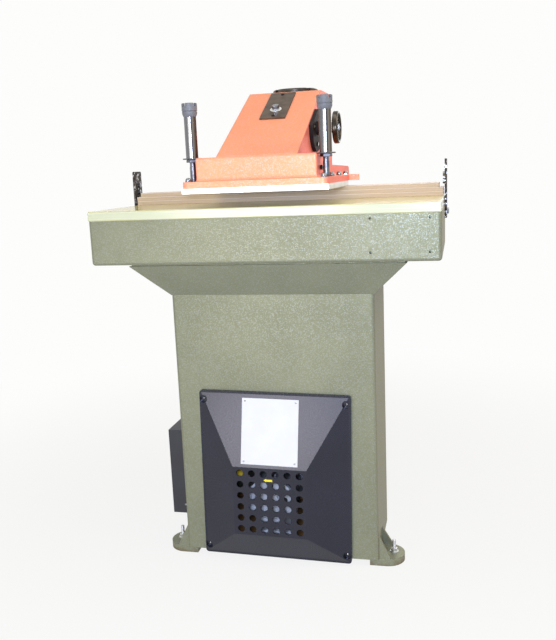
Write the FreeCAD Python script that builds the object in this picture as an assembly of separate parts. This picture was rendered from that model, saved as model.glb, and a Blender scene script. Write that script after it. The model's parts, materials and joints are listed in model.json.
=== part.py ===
import FreeCAD, Part
import math
import os

# Hydraulic swing-arm cutting press, a free-standing shop machine.
# Millimetres. X is the operator's right, Y runs to the back, Z is up.
# The origin lies on the floor under the axis of the pillar that the arm swings on.

V = FreeCAD.Vector
X = V(1, 0, 0)
Y = V(0, 1, 0)
Z = V(0, 0, 1)
EAST = X
WEST = -X
FORWARD = -Y

# Clearances
RUNNING = 0.05          # radial clearance of a shaft in its bush
SEAT = 0.3              # gap between faces of pieces that move past each other
DRILL = 0.1             # radial room round a screw in its hole

# Base and column: a welded shell, full width in front and narrower round the pillar
PILLAR_REACH = 450.0    # column's front face to the pillar's axis
COLUMN_HALF = 277.0
COLUMN_SIDE = 255.0     # depth of the full-width part
COLUMN_WALL = 10.0
COLUMN_EDGE_R = 9.0
REAR_HALF = 150.0
REAR_REACH = 110.0      # pillar's axis to the rear wall
BASE_T = 20.0
BASE_INSET = 48.0       # base plate set back under the column
FLOOR_T = 8.0           # column's own floor on the base plate
COLUMN_H = 744.0
FLARE_H = 88.0
FLARE_OUT = 89.0        # how far each side of the flare leans out
FLARE_FORWARD = 66.0
GROOVE_H = 8.0
GROOVE_DEPTH = 6.0
TOP_PLATE_T = 14.0

# Front and rear openings of the column
OPENING_LAP = 28.0      # front cover's overlap round its opening
REAR_OPENING_HALF = 85.0
REAR_OPENING_LOW = 130.0
REAR_OPENING_HIGH = 430.0
REAR_COVER_LAP = 22.0
REAR_COVER_T = 3.0

# Cast lugs at the feet
LUG_R = 48.0
LUG_OUT = 19.0          # lug's round centre beyond the column's side
LUG_BACK = 56.0         # lug's round centre behind the column's front face
LUG_ROOT = 26.0         # how far the lug runs in under the column
STUD_OUT = 37.0         # stud beyond the column's side
STUD_BACK = 60.0
REAR_LUG_R = 38.0
REAR_LUG_X = 208.0
REAR_LUG_Y = 40.0
ANCHOR_HOLE_R = 9.0
GUSSET_T = 8.0
FRONT_GUSSET_H = 67.0
REAR_GUSSET_H = 54.0
GUSSET_RUN = 33.0

# Levelling studs, nuts and washers
STUD_R = 5.0
STUD_TOP = 56.0
WASHER_R = 12.0
WASHER_T = 2.0
NUT_FLATS = 17.0
NUT_H = 8.0

# Table, cutting board and the strips on it
TABLE_HALF = 451.0
TABLE_DEPTH = 400.0
TABLE_H = 116.0
TABLE_FORWARD = 110.0   # table's front face in front of the column's
TABLE_EDGE_R = 9.0
APRON_HOLE_R = 3.0
APRON_HOLE_DEPTH = 18.0
APRON_HOLE_PITCH_X = 141.0
APRON_HOLE_PITCH_Z = 82.0
APRON_HOLES_IN = 98.5   # middle of the four tapped holes from the table's right end
APRON_HOLES_UP = 64.0
BOARD_END_GAP = 1.0     # board's ends inside the table's
BOARD_T = 25.0
BOARD_NOSE = 3.0        # board's front edge beyond the table's
BOARD_EDGE_R = 2.0
STRIP_T = 11.7
STRIP_DEPTH = 70.0
STRIP_END_GAP = 3.0     # strips' ends inside the table's
SHORT_STRIP_END_GAP = 15.0
STRIP_CHAMFER = 0.8

# Upright brackets bolted to the table's ends
BRACKET_T = 6.0
BRACKET_W = 52.0
BRACKET_H = 160.0
BRACKET_DROP = 36.0     # below the table's top
BRACKET_LEAD = 2.0      # in front of the strips
BRACKET_CORNER_R = 6.0
BRACKET_BOLT_R = 4.0
BRACKET_BOLT_LEN = 24.0
BRACKET_BOLT_FLATS = 13.0
BRACKET_BOLT_HEAD = 5.3
BRACKET_BOLT_LOW = 18.0
BRACKET_HOLE_R = 4.0    # free hole near the top
BRACKET_HOLE_IN = 11.0  # from the front edge
BRACKET_HOLE_DROP = 29.0
UPPER_BOLTS = ((30.0, 41.0), (27.0, 60.0))  # from the front edge, and below the top

# Pillar, its guide and its cylinder
PILLAR_R = 55.0
JOURNAL_R = 45.0
THREAD_R = 40.0
GUIDE_R = 88.0
BUSH_WALL = 3.0
GUIDE_BUSH_L = 90.0
CYLINDER_R = 70.0
CYLINDER_ROOM = 191.0   # above the piston when the pillar is at its highest
CYLINDER_FLOOR = 22.0
PISTON_H = 40.0
PISTON_UP = 34.0        # piston above the cylinder's floor at rest
PISTON_GAP = 0.08
PILLAR_TAIL_R = 27.5    # pillar's end in the piston
SEAL_W = 8.0            # groove for the piston's seal
SEAL_D = 5.0
LIFT = 75.0             # upward travel of the pillar
GUIDE_RISE = 152.0      # guide's top above the column
GUIDE_FLANGE_R = 122.0
GUIDE_FLANGE_T = 20.0
GUIDE_RIB_T = 12.0
GUIDE_RIB_H = 90.0
GUIDE_RIBS = 6
GUIDE_SCREWS = 6        # in the flange, half way between the ribs
GLAND_T = 18.0
GLAND_RIM = 6.0
SCREW_CIRCLE_R = 104.0
GLAND_CIRCLE_R = 74.0
GLAND_SCREWS = 4
GLAND_SCREW_R = 3.0
GLAND_SCREW_FLATS = 8.0
GLAND_SCREW_HEAD = 3.0
GLAND_SCREW_GRIP = 8.0  # depth of their threads in the guide
GUIDE_SCREW_R = 5.0
GUIDE_SCREW_FLATS = 16.0
GUIDE_SCREW_HEAD = 6.5
GUIDE_SCREW_GRIP = 12.0
PILLAR_BARE = 17.0      # pillar seen between the gland and its shoulder at rest

# Swing arm: flange, low front box, slanted body and hub
FLANGE_T = 16.0
FLANGE_HALF = 184.4
FLANGE_FRONT = 568.5    # in front of the pillar's axis
FLANGE_CORNER_R = 14.0
WIDE_HALF = 214.0
WIDE_FRONT = 195.0
WIDE_HUB_R = 140.0
BOX_HALF = 154.4
BOX_FRONT = 543.5
BOX_H = 58.0
BOX_WALL = 16.0
BOX_CORNER_R = 9.0
FOOT_R = 7.0
RIB_T = 12.0
RIB_BREAK_Y = 337.0
RIB_BREAK_H = 29.0
RIB_END_H = 24.0
RIB_END_Y = 28.0        # the ribs end this far behind the pillar's axis
RIB_END_R = 18.0
BODY_HALF = 105.2
SLOPE_FRONT = 527.3
SLOPE_START_H = 60.3
SLOPE_RUN = 362.3
SLOPE_DEG = 26.28
HUB_R = 105.2
BODY_EDGE_R = 4.0

# Striking plate under the arm
PLATE_HALF = 188.0
PLATE_FRONT = 567.0
PLATE_DEPTH = 331.0
PLATE_T = 13.5
PLATE_CORNER_R = 3.0
PLATE_BOLT_X = 172.0
PLATE_BOLT_FRONT = 552.0
PLATE_BOLT_PITCH = 125.0
PLATE_BOLT_COUNT = 4
PLATE_BOLT_R = 5.0
PLATE_BOLT_DOME = 8.0
PLATE_BOLT_SKIRT = 5.0
PLATE_BOLT_CAP = 6.0    # bevelled part of the cap
PLATE_BOLT_TOP_R = 4.0

# Bushes between the pillar and the arm
ARM_BUSH_WALL = 4.0
ARM_BUSH_L = 62.0
BUSH_FLANGE_R = 60.0
BUSH_FLANGE_T = 3.7

# Ring nut on the pillar
RING_NUT_R = 70.0
RING_NUT_H = 16.0
RING_NUT_BEVEL = 3.0
RING_NUT_SHY = 1.0      # pillar's end below the nut's top
RING_NUT_SLOT_W = 12.0
RING_NUT_SLOT_D = 8.0
RING_NUT_SLOTS = 4

# Black cover plate on the slope
SLOPE_COVER_HALF = 35.5
SLOPE_COVER_START = 214.0
SLOPE_COVER_L = 177.0
SLOPE_COVER_T = 4.0
COVER_BOLT_AT = 270.0
COVER_SCREW_INSET = 15.0
COVER_BOLT_R = 6.0
COVER_SCREW_R = 3.0
COVER_WASHER_R = 16.0
COVER_WASHER_T = 2.0
COVER_BOLT_FLATS = 15.0
COVER_BOLT_HEAD = 9.0
COVER_BOLT_GRIP = 14.0
COVER_SCREW_FLATS = 10.0
COVER_SCREW_HEAD = 1.8

# Stroke setting: handwheel, spindle and travelling nut
WHEEL_Y = -305.0
WHEEL_UP = 127.0        # above the arm's flange
WHEEL_R = 43.0
WHEEL_T = 15.0
WHEEL_X = 162.0
WHEEL_RIM_W = 8.0
WHEEL_WEB_IN = 4.5      # web behind the wheel's inner face
WHEEL_WEB_T = 4.0
WHEEL_BEVEL = 2.5
WHEEL_HUB_R = 14.0
SPINDLE_R = 9.0
SPINDLE_END_R = 6.0
SPINDLE_TAIL = 16.0
WHEEL_NUT_FLATS = 17.0
WHEEL_NUT_H = 5.0
POCKET_HALF = 62.0
POCKET_FRONT = 345.0
POCKET_BACK = 235.0
POCKET_FLOOR_UP = 83.0
POCKET_H = 64.0
POCKET_MOUTH_HALF = 25.0
POCKET_MOUTH_FRONT = 320.0
POCKET_MOUTH_BACK = 200.0
TRAVEL_NUT_L = 34.0
TRAVEL_NUT_W = 40.0
TRAVEL_NUT_H = 60.0
TRAVEL_NUT_BEVEL = 3.0
ROUND_COVER_R = 62.0
ROUND_COVER_T = 10.0
ROUND_COVER_MARGIN = 2.0
ROUND_BOLT_CIRCLE_R = 42.0
ROUND_BOLT_R = 3.0
ROUND_BOLT_FLATS = 10.0
ROUND_BOLT_HEAD = 3.5
ARM_SCREW_GRIP = 12.0   # depth of the small screws' holes in the arm
SPINDLE_BOSS_R = 18.0
SPINDLE_BOSS_T = 16.0

# Set screw in the low box's right wall
SIDE_SCREW_Y = -494.0
SIDE_SCREW_UP = 23.0
SIDE_SCREW_R = 3.0
SIDE_SCREW_OUT = 15.0
SIDE_NUT_FLATS = 11.0
SIDE_NUT_H = 6.0

# Two handles with push buttons
HANDLE_X = 172.0
HANDLE_Y = -510.0
STEM_R = 8.0
STEM_H = 48.5
HANDLE_NUT_H = 7.5
HANDLE_NUT_FLATS = 27.0
DISC_R = 24.5
DISC_T = 3.0
TUBE_R = 15.5
TUBE_BORE_R = 12.0
TUBE_H = 101.5
TUBE_PLUG_H = 30.0      # solid foot of the tube round the stem
CROWN_R = 19.5
CROWN_H = 34.0
CROWN_TAPER = 9.0
CROWN_BEVEL = 1.2
CROWN_WELL_R = 13.0
CROWN_WELL_FLOOR = 12.0
CROWN_NOTCH_W = 8.0
CROWN_NOTCH_D = 6.0
CROWN_NOTCHES = 4
BUTTON_PRESS = 4.0
BUTTON_STEM_R = 4.0
BUTTON_PROUD = 1.0
BUTTON_STEP = 2.5
SWITCH_H = 26.0

# Vented front cover, a pressed shell that hangs a little askew
COVER_W = 422.0
COVER_H = 483.0
COVER_MID_X = -4.0
COVER_MID_Z = 254.0
COVER_TILT = 1.0
COVER_RIM = 6.0
COVER_RIM_T = 10.0
COVER_CORNER_R = 9.0
COVER_SHEET = 3.0
COVER_RISE = 40.0       # vented face in front of the rim
VENT_W = 206.0
VENT_H = 198.0
VENT_MID_X = -8.0       # middle of the vented face from the cover's middle
VENT_MID_Z = -60.0
VENT_ROWS = 6
VENT_COLUMNS = 6
VENT_HOLE_R = 9.7
VENT_PITCH_X = 33.3
VENT_PITCH_Z = 32.7
COVER_SCREW_IN = 12.0   # corner screws from the cover's sides
COVER_SCREW_DOWN = 24.5 # and from its top and bottom
WELL_R = 11.0
WELL_WALL = 2.5
COVER_FIX_R = 3.0
COVER_FIX_FLATS = 8.5
COVER_FIX_HEAD = 4.0
COVER_FIX_LEN = 12.0

# Bare plate on the cover's upper slope
NAME_W = 158.0
NAME_T = 1.5
NAME_LOW_GAP = 9.0      # plate's lower edge above the vented face, along the slope
NAME_HIGH_GAP = 10.5    # plate's upper edge below the rim
RIVET_INSET = 8.0
RIVET_R = 1.6
RIVET_HEAD_FLATS = 5.0
RIVET_HEAD_H = 1.2

# Electrical box on the column's left wall
EBOX_OUT = 60.0
EBOX_BACK = 57.0
EBOX_DEPTH = 180.0
EBOX_LOW = 99.0
EBOX_H = 257.0
EBOX_WALL = 2.0
EBOX_LID_T = 4.0
EBOX_SCREW_R = 2.5
EBOX_SCREW_FLATS = 8.0
EBOX_SCREW_HEAD = 3.0
EBOX_SCREW_LEN = 14.0
EBOX_SCREW_INSET = 12.0
EBOX_POST_HALF = 5.0    # square post behind each corner screw
EBOX_FRONT_SCREW_UP = 26.0
EBOX_FRONT_SCREW_IN = 20.0
CONTACTOR_W = 45.0
CONTACTOR_D = 38.0
CONTACTOR_H = 80.0
CONTACTOR_UP = 20.0     # above the box's middle
TERMINAL_HALF = 55.0
TERMINAL_D = 18.0
TERMINAL_LOW = 45.0
TERMINAL_H = 25.0
GLAND_BORE_R = 6.0
GLAND_NUT_FLATS = 24.0
GLAND_NUT_H = 6.0
GLAND_NOSE_H = 12.0
GLAND_LOCK_H = 4.0
GLAND_WALL = 2.0
GLAND_BACK = 45.0       # in front of the box's rear wall

# Motor and pump behind the vents
MOTOR_X = -40.0
MOTOR_Z = 150.0
MOTOR_FRONT = 60.0      # end shield's face behind the column's front face
MOTOR_R = 62.0
MOTOR_FIN_R = 72.0
MOTOR_FINS = 20
MOTOR_FIN_T = 3.0
MOTOR_L = 150.0
MOTOR_WALL = 8.0
SHIELD_R = 68.0
SHIELD_T = 16.0
SHIELD_RIM = 9.0
SHIELD_BOSS_R = 10.0
SHIELD_SLOT_R = 8.0
SHIELD_BOSS_CIRCLE = 52.0
SHIELD_BOSSES = 4
SHIELD_HUB_R = 24.0
SHAFT_R = 9.5
ROTOR_R = 36.0
ROTOR_L = 88.0
FAN_R = 50.0
FAN_BLADES = 7
FAN_T = 16.0
FOOT_W = 100.0
FOOT_T = 10.0
BELL_L = 46.0
BELL_R = 48.0
BELL_WALL = 5.0
COUPLING_R = 22.0
COUPLING_L = 26.0
PUMP_W = 78.0
PUMP_H = 92.0
PUMP_L = 44.0
PUMP_FLANGE_T = 6.0
PUMP_CORNER_R = 14.0

# Oil tank, valves, pipes and tray
TANK_X = 62.0
TANK_W = 176.0
TANK_BACK = 70.0
TANK_DEPTH = 170.0
TANK_Z = 120.0
TANK_H = 150.0
TANK_LEG = 22.0
TANK_LEG_INSET = 5.0
TANK_CORNER_R = 6.0
FILLER_R = 20.0
FILLER_H = 18.0
FILLER_IN_X = 40.0
FILLER_IN_Y = 45.0
VALVE_X = -222.0
VALVE_BACK = 62.0
VALVE_Z = 196.0
VALVE_W = 58.0
VALVE_D = 70.0
VALVE_H = 64.0
VALVE_FOOT_T = 6.0
VALVE_FOOT_INSET = 4.0
VALVE_FOOT_DROP = 10.0
VALVE_FOOT_H = 60.0
VALVE_ARM_INSET = 10.0
VALVE_ARM_T = 12.0
VALVE_PORT_IN = 24.0    # coil and cap behind the block's front
COIL_UP = 18.0
COIL_R = 17.0
COIL_L = 52.0
RELIEF_DOWN = 14.0
RELIEF_R = 9.0
RELIEF_L = 26.0
PIPE_R = 7.0
ELBOW_HALF = 10.0       # half of a square elbow fitting
PORT_BOSS_H = 8.0
PORT_WALL = 5.0
TRAY_H = 14.0
TRAY_GAP = 8.0
TRAY_SHEET = 1.5

# Places worked out from the sizes above
FRONT_Y = -PILLAR_REACH
SIDE_END_Y = FRONT_Y + COLUMN_SIDE
COLUMN_TOP = BASE_T + COLUMN_H
FLOOR_Z = BASE_T + FLOOR_T
FLARE_TOP = COLUMN_TOP + FLARE_H
BODY_TOP = FLARE_TOP + GROOVE_H
TABLE_FRONT_Y = FRONT_Y - TABLE_FORWARD
TABLE_REAR_Y = TABLE_FRONT_Y + TABLE_DEPTH
TABLE_TOP = BODY_TOP + TABLE_H
BOARD_FRONT_Y = TABLE_FRONT_Y - BOARD_NOSE
BOARD_REAR_Y = BOARD_FRONT_Y + TABLE_DEPTH
BOARD_TOP = TABLE_TOP + BOARD_T
STRIP_FRONT_Y = BOARD_REAR_Y - STRIP_DEPTH
BRACKET_Y0 = STRIP_FRONT_Y - BRACKET_LEAD
BRACKET_Z0 = TABLE_TOP - BRACKET_DROP
BOARD_LENGTH = 2 * (TABLE_HALF - BOARD_END_GAP)
STRIP_LONG = 2 * (TABLE_HALF - STRIP_END_GAP)
STRIP_SHORT = 2 * (TABLE_HALF - SHORT_STRIP_END_GAP)
APRON_HOLES_X = TABLE_HALF - APRON_HOLES_IN
OPENING_HALF = COVER_W / 2 - OPENING_LAP
OPENING_LOW = COVER_MID_Z - COVER_H / 2 + OPENING_LAP
OPENING_HIGH = COVER_MID_Z + COVER_H / 2 - OPENING_LAP
COVER_SCREW_X = COVER_W / 2 - COVER_SCREW_IN
COVER_SCREW_Z = COVER_H / 2 - COVER_SCREW_DOWN
GUIDE_BORE_R = PILLAR_R + RUNNING + BUSH_WALL
CYLINDER_Z0 = FLOOR_Z + CYLINDER_FLOOR
CYLINDER_H = PISTON_UP + PISTON_H + LIFT + CYLINDER_ROOM
CYLINDER_Z1 = CYLINDER_Z0 + CYLINDER_H
GUIDE_TOP = BODY_TOP + GUIDE_RISE
SHOULDER_Z = GUIDE_TOP + GLAND_T + PILLAR_BARE
FLANGE_Z = SHOULDER_Z + BUSH_FLANGE_T + SEAT
FLANGE_TOP = FLANGE_Z + FLANGE_T
WHEEL_Z = FLANGE_TOP + WHEEL_UP
POCKET_FLOOR = FLANGE_TOP + POCKET_FLOOR_UP
POCKET_ROOF = POCKET_FLOOR + POCKET_H
SLOPE = math.radians(SLOPE_DEG)
SLOPE_FOOT_Z = FLANGE_TOP + SLOPE_START_H
SLOPE_TOP_Y = -SLOPE_FRONT + SLOPE_RUN
ARM_TOP = SLOPE_FOOT_Z + SLOPE_RUN * math.tan(SLOPE)
SLOPE_DIR = V(0, math.cos(SLOPE), math.sin(SLOPE))
SLOPE_NORMAL = V(0, -math.sin(SLOPE), math.cos(SLOPE))
SLOPE_START = V(0, -SLOPE_FRONT, SLOPE_FOOT_Z)
HUB_BORE_R = JOURNAL_R + RUNNING + ARM_BUSH_WALL
MOTOR_FACE_Y = FRONT_Y + MOTOR_FRONT
MOTOR_BODY_Y = MOTOR_FACE_Y + SHIELD_T
MOTOR_END_Y = MOTOR_BODY_Y + MOTOR_L
PUMP_Y = MOTOR_END_Y + BELL_L
WHEEL_AXIS = V(0, WHEEL_Y, WHEEL_Z)


def block(x0, x1, y0, y1, z0, z1):
    return Part.makeBox(x1 - x0, y1 - y0, z1 - z0, V(x0, y0, z0))


def rod(radius, start, direction, length):
    return Part.makeCylinder(radius, length, start, direction)


def ring(outer, inner, start, direction, length):
    return rod(outer, start, direction, length).cut(rod(inner, start, direction, length))


def fused(shapes):
    return shapes[0].multiFuse(shapes[1:]).removeSplitter()


def bored(shape, tools):
    return shape.cut(Part.makeCompound(tools))


def polygon(points):
    return Part.makePolygon(points + [points[0]])


def slab(points, direction):
    return Part.Face(polygon(points)).extrude(direction)


def turned(profile, base, axis, angle=360):
    return Part.Face(polygon(profile)).revolve(base, axis, angle)


def mirrored(shape):
    return shape.mirror(V(0, 0, 0), X)


def hex_prism(flats, start, direction, length):
    """A hexagonal prism whose axis runs from start along direction."""
    radius = flats / math.sqrt(3.0)
    corners = [V(radius * math.cos(math.radians(60 * i)), radius * math.sin(math.radians(60 * i)), 0)
               for i in range(6)]
    prism = slab(corners, V(0, 0, length))
    prism.Placement = FreeCAD.Placement(start, FreeCAD.Rotation(Z, direction))
    return prism


def hex_nut(flats, height, bore, start, direction):
    return hex_prism(flats, start, direction, height).cut(rod(bore, start, direction, height))


def hex_screw(seat, into, radius, length, flats, head):
    """Hexagon screw whose head stands on seat; its shank, six-sided too, runs along into."""
    return hex_prism(flats, seat, -into, head).fuse(hex_prism(radius * math.sqrt(3.0), seat, into, length))


def edges_where(shape, test):
    """The edges whose two end points both pass the test."""
    return [e for e in shape.Edges if len(e.Vertexes) == 2 and all(test(v.Point) for v in e.Vertexes)]


def near(a, b):
    return abs(a - b) < 0.01


def upright_edges(shape, corners):
    """The vertical edges of a shape at the given plan corners."""
    def at_corner(edge):
        a, b = edge.Vertexes[0].Point, edge.Vertexes[1].Point
        return any(near(a.x, x) and near(b.x, x) and near(a.y, y) and near(b.y, y) for x, y in corners)
    return [e for e in shape.Edges if len(e.Vertexes) == 2 and at_corner(e)]


def inset(points, distance):
    """The plan outline moved inwards by a distance; points run anticlockwise."""
    lines = []
    for i, a in enumerate(points):
        b = points[(i + 1) % len(points)]
        along = (b - a).normalize()
        shift = V(-along.y, along.x, 0) * distance
        lines.append((a + shift, along))
    moved = []
    for i, (p, d) in enumerate(lines):
        q, e = lines[i - 1]
        cross = d.x * e.y - d.y * e.x
        t = ((q.x - p.x) * e.y - (q.y - p.y) * e.x) / cross
        moved.append(p + d * t)
    return moved


def column_plan(z):
    """Plan outline of the column, anticlockwise from the front left corner."""
    return [V(-COLUMN_HALF, FRONT_Y, z), V(COLUMN_HALF, FRONT_Y, z), V(COLUMN_HALF, SIDE_END_Y, z),
            V(REAR_HALF, REAR_REACH, z), V(-REAR_HALF, REAR_REACH, z), V(-COLUMN_HALF, SIDE_END_Y, z)]


def flare_plan(z, out, forward):
    return [V(-COLUMN_HALF - out, FRONT_Y - forward, z), V(COLUMN_HALF + out, FRONT_Y - forward, z),
            V(COLUMN_HALF + out, SIDE_END_Y, z), V(-COLUMN_HALF - out, SIDE_END_Y, z)]


def frustum(start, end):
    """A solid with flat sides between two like polygons whose edges are parallel."""
    faces = [Part.Face(polygon(start)), Part.Face(polygon(end))]
    for i, a in enumerate(start):
        k = (i + 1) % len(start)
        faces.append(Part.Face(polygon([a, start[k], end[k], end[i]])))
    solid = Part.Solid(Part.makeShell(faces))
    if solid.Volume < 0:
        solid.reverse()
    return solid


def flare(shrink, z0, z1):
    """The widening head of the column, drawn in by shrink on every side."""
    return frustum(inset(flare_plan(z0, 0, 0), shrink), inset(flare_plan(z1, FLARE_OUT, FLARE_FORWARD), shrink))


def front_lug(side):
    """Foot pad with a rounded outer end."""
    x = COLUMN_HALF + LUG_OUT
    y = FRONT_Y + LUG_BACK
    pad = block(COLUMN_HALF - LUG_ROOT, x, y - LUG_R, y + LUG_R, 0, BASE_T)
    pad = pad.fuse(rod(LUG_R, V(x, y, 0), Z, BASE_T))
    lug = pad.cut(rod(STUD_R + DRILL, V(COLUMN_HALF + STUD_OUT, FRONT_Y + STUD_BACK, 0), Z, BASE_T))
    return lug if side > 0 else mirrored(lug)


def rear_lug(side):
    pad = rod(REAR_LUG_R, V(REAR_LUG_X, REAR_LUG_Y, 0), Z, BASE_T)
    root = block(REAR_HALF - LUG_ROOT, REAR_LUG_X, REAR_LUG_Y - REAR_LUG_R, REAR_LUG_Y + REAR_LUG_R, 0, BASE_T)
    pad = pad.fuse(root)
    return pad if side > 0 else mirrored(pad)


def gusset(side, y, height):
    points = [V(COLUMN_HALF - 1, y, BASE_T), V(COLUMN_HALF + GUSSET_RUN, y, BASE_T),
              V(COLUMN_HALF, y, BASE_T + height), V(COLUMN_HALF - 1, y, BASE_T + height)]
    plate = slab(points, V(0, GUSSET_T, 0))
    return plate if side > 0 else mirrored(plate)


def cover_point(u, w, y):
    """A point of the front cover's own plane, turned by the cover's tilt."""
    t = math.radians(COVER_TILT)
    return V(COVER_MID_X + u * math.cos(t) + w * math.sin(t), y,
             COVER_MID_Z + w * math.cos(t) - u * math.sin(t))


def cover_screw_points(y):
    return [cover_point(i * COVER_SCREW_X, k * COVER_SCREW_Z, y) for i in (-1, 1) for k in (-1, 1)]


def rear_screw_points(y):
    half = REAR_OPENING_HALF + REAR_COVER_LAP / 2
    low = REAR_OPENING_LOW - REAR_COVER_LAP / 2
    high = REAR_OPENING_HIGH + REAR_COVER_LAP / 2
    return [V(i * half, y, z) for i in (-1, 1) for z in (low, high)]


def ring_points(radius, count, z, start=0.0):
    return [V(radius * math.cos(math.radians(start + 360 * i / count)),
              radius * math.sin(math.radians(start + 360 * i / count)), z) for i in range(count)]


def machine_body():
    outer = slab(column_plan(BASE_T), V(0, 0, BODY_TOP - BASE_T))
    front_edges = upright_edges(outer, [(-COLUMN_HALF, FRONT_Y), (COLUMN_HALF, FRONT_Y)])
    outer = outer.makeFillet(COLUMN_EDGE_R, front_edges)
    hollow = slab(inset(column_plan(FLOOR_Z), COLUMN_WALL), V(0, 0, BODY_TOP - TOP_PLATE_T - FLOOR_Z))
    head = flare(0, COLUMN_TOP, FLARE_TOP)
    head_hollow = flare(COLUMN_WALL, COLUMN_TOP, FLARE_TOP - TOP_PLATE_T + GROOVE_H)
    neck = slab(inset(flare_plan(FLARE_TOP, FLARE_OUT, FLARE_FORWARD), GROOVE_DEPTH), V(0, 0, GROOVE_H))
    base = slab(inset(column_plan(0), BASE_INSET), V(0, 0, BASE_T))
    feet = [front_lug(1), front_lug(-1), rear_lug(1), rear_lug(-1)]
    lug_front = FRONT_Y + COLUMN_EDGE_R
    lug_rear = FRONT_Y + LUG_BACK + LUG_R - GUSSET_T
    for side in (-1, 1):
        feet.append(gusset(side, lug_front, FRONT_GUSSET_H))
        feet.append(gusset(side, lug_rear, REAR_GUSSET_H))
    shell = fused([outer, head, neck])
    shell = shell.cut(fused([hollow, head_hollow]))
    body = fused([shell, base] + feet)
    holes = [
        block(-OPENING_HALF, OPENING_HALF, FRONT_Y - 1, FRONT_Y + COLUMN_WALL + 1, OPENING_LOW, OPENING_HIGH),
        block(-REAR_OPENING_HALF, REAR_OPENING_HALF, REAR_REACH - COLUMN_WALL - 1, REAR_REACH + 1,
              REAR_OPENING_LOW, REAR_OPENING_HIGH),
        rod(GUIDE_R, V(0, 0, BODY_TOP - TOP_PLATE_T - 1), Z, TOP_PLATE_T + 2),
    ]
    for side in (-1, 1):
        holes.append(rod(ANCHOR_HOLE_R, V(side * REAR_LUG_X, REAR_LUG_Y, 0), Z, BASE_T))
    holes += [rod(COVER_FIX_R + DRILL, p, Y, COVER_FIX_LEN) for p in cover_screw_points(FRONT_Y)]
    holes += [rod(COVER_FIX_R + DRILL, p, FORWARD, COLUMN_WALL) for p in rear_screw_points(REAR_REACH)]
    holes += [rod(GUIDE_SCREW_R + DRILL, p, -Z, TOP_PLATE_T) for p in guide_screw_points(BODY_TOP)]
    return bored(body, holes)


def guide_screw_points(z):
    """The screws of the guide's flange, half way between its ribs."""
    return ring_points(SCREW_CIRCLE_R, GUIDE_SCREWS, z, 180 / GUIDE_RIBS)


def at_both(x, y, make):
    return Part.makeCompound([make(V(side * x, y, 0)) for side in (-1, 1)])


def anchor_studs():
    """Levelling studs screwed through the front lugs down to the floor."""
    return at_both(COLUMN_HALF + STUD_OUT, FRONT_Y + STUD_BACK, lambda p: rod(STUD_R, p, Z, STUD_TOP))


def anchor_nuts():
    """Lock nuts of the studs, each on its washer."""
    washers = at_both(COLUMN_HALF + STUD_OUT, FRONT_Y + STUD_BACK,
                      lambda p: ring(WASHER_R, STUD_R, p + Z * BASE_T, Z, WASHER_T))
    nuts = at_both(COLUMN_HALF + STUD_OUT, FRONT_Y + STUD_BACK,
                   lambda p: hex_nut(NUT_FLATS, NUT_H, STUD_R, p + Z * (BASE_T + WASHER_T), Z))
    return Part.makeCompound(washers.Solids + nuts.Solids)


def apron_holes():
    points = []
    for i in (-1, 1):
        for k in (-1, 1):
            points.append(V(APRON_HOLES_X + i * APRON_HOLE_PITCH_X / 2, TABLE_FRONT_Y,
                            BODY_TOP + APRON_HOLES_UP + k * APRON_HOLE_PITCH_Z / 2))
    return points


def bracket_bolt_points(x):
    return [V(x, BRACKET_Y0 + BRACKET_W * share, BRACKET_Z0 + BRACKET_BOLT_LOW) for share in (0.25, 0.75)]


def bracket_place(x, back, drop):
    """A point of the bracket, back from its front edge and below its top."""
    return V(x, BRACKET_Y0 + back, BRACKET_Z0 + BRACKET_H - drop)


def worktable():
    table = block(-TABLE_HALF, TABLE_HALF, TABLE_FRONT_Y, TABLE_REAR_Y, BODY_TOP, TABLE_TOP)
    corners = [(x, y) for x in (-TABLE_HALF, TABLE_HALF) for y in (TABLE_FRONT_Y, TABLE_REAR_Y)]
    table = table.makeFillet(TABLE_EDGE_R, upright_edges(table, corners))
    low = edges_where(table, lambda p: near(p.z, BODY_TOP))
    table = table.makeFillet(TABLE_EDGE_R * 0.9, low)
    holes = [rod(APRON_HOLE_R, p, Y, APRON_HOLE_DEPTH) for p in apron_holes()]
    for side in (-1, 1):
        depth = BRACKET_BOLT_LEN - BRACKET_T
        holes += [rod(BRACKET_BOLT_R + DRILL, p, X * -side, depth)
                  for p in bracket_bolt_points(side * TABLE_HALF)]
    return bored(table, holes)


def flat_board(length, depth, y_front, z, thickness, edge):
    board = block(-length / 2, length / 2, y_front, y_front + depth, z, z + thickness)
    return board.makeChamfer(edge, board.Edges)


def cutting_board():
    return flat_board(BOARD_LENGTH, TABLE_DEPTH, BOARD_FRONT_Y, TABLE_TOP, BOARD_T, BOARD_EDGE_R)


def rear_strip(index, length):
    return flat_board(length, STRIP_DEPTH, STRIP_FRONT_Y, BOARD_TOP + index * STRIP_T, STRIP_T, STRIP_CHAMFER)


def rear_boards_lower():
    return Part.makeCompound([rear_strip(0, STRIP_LONG), rear_strip(1, STRIP_LONG)])


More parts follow.
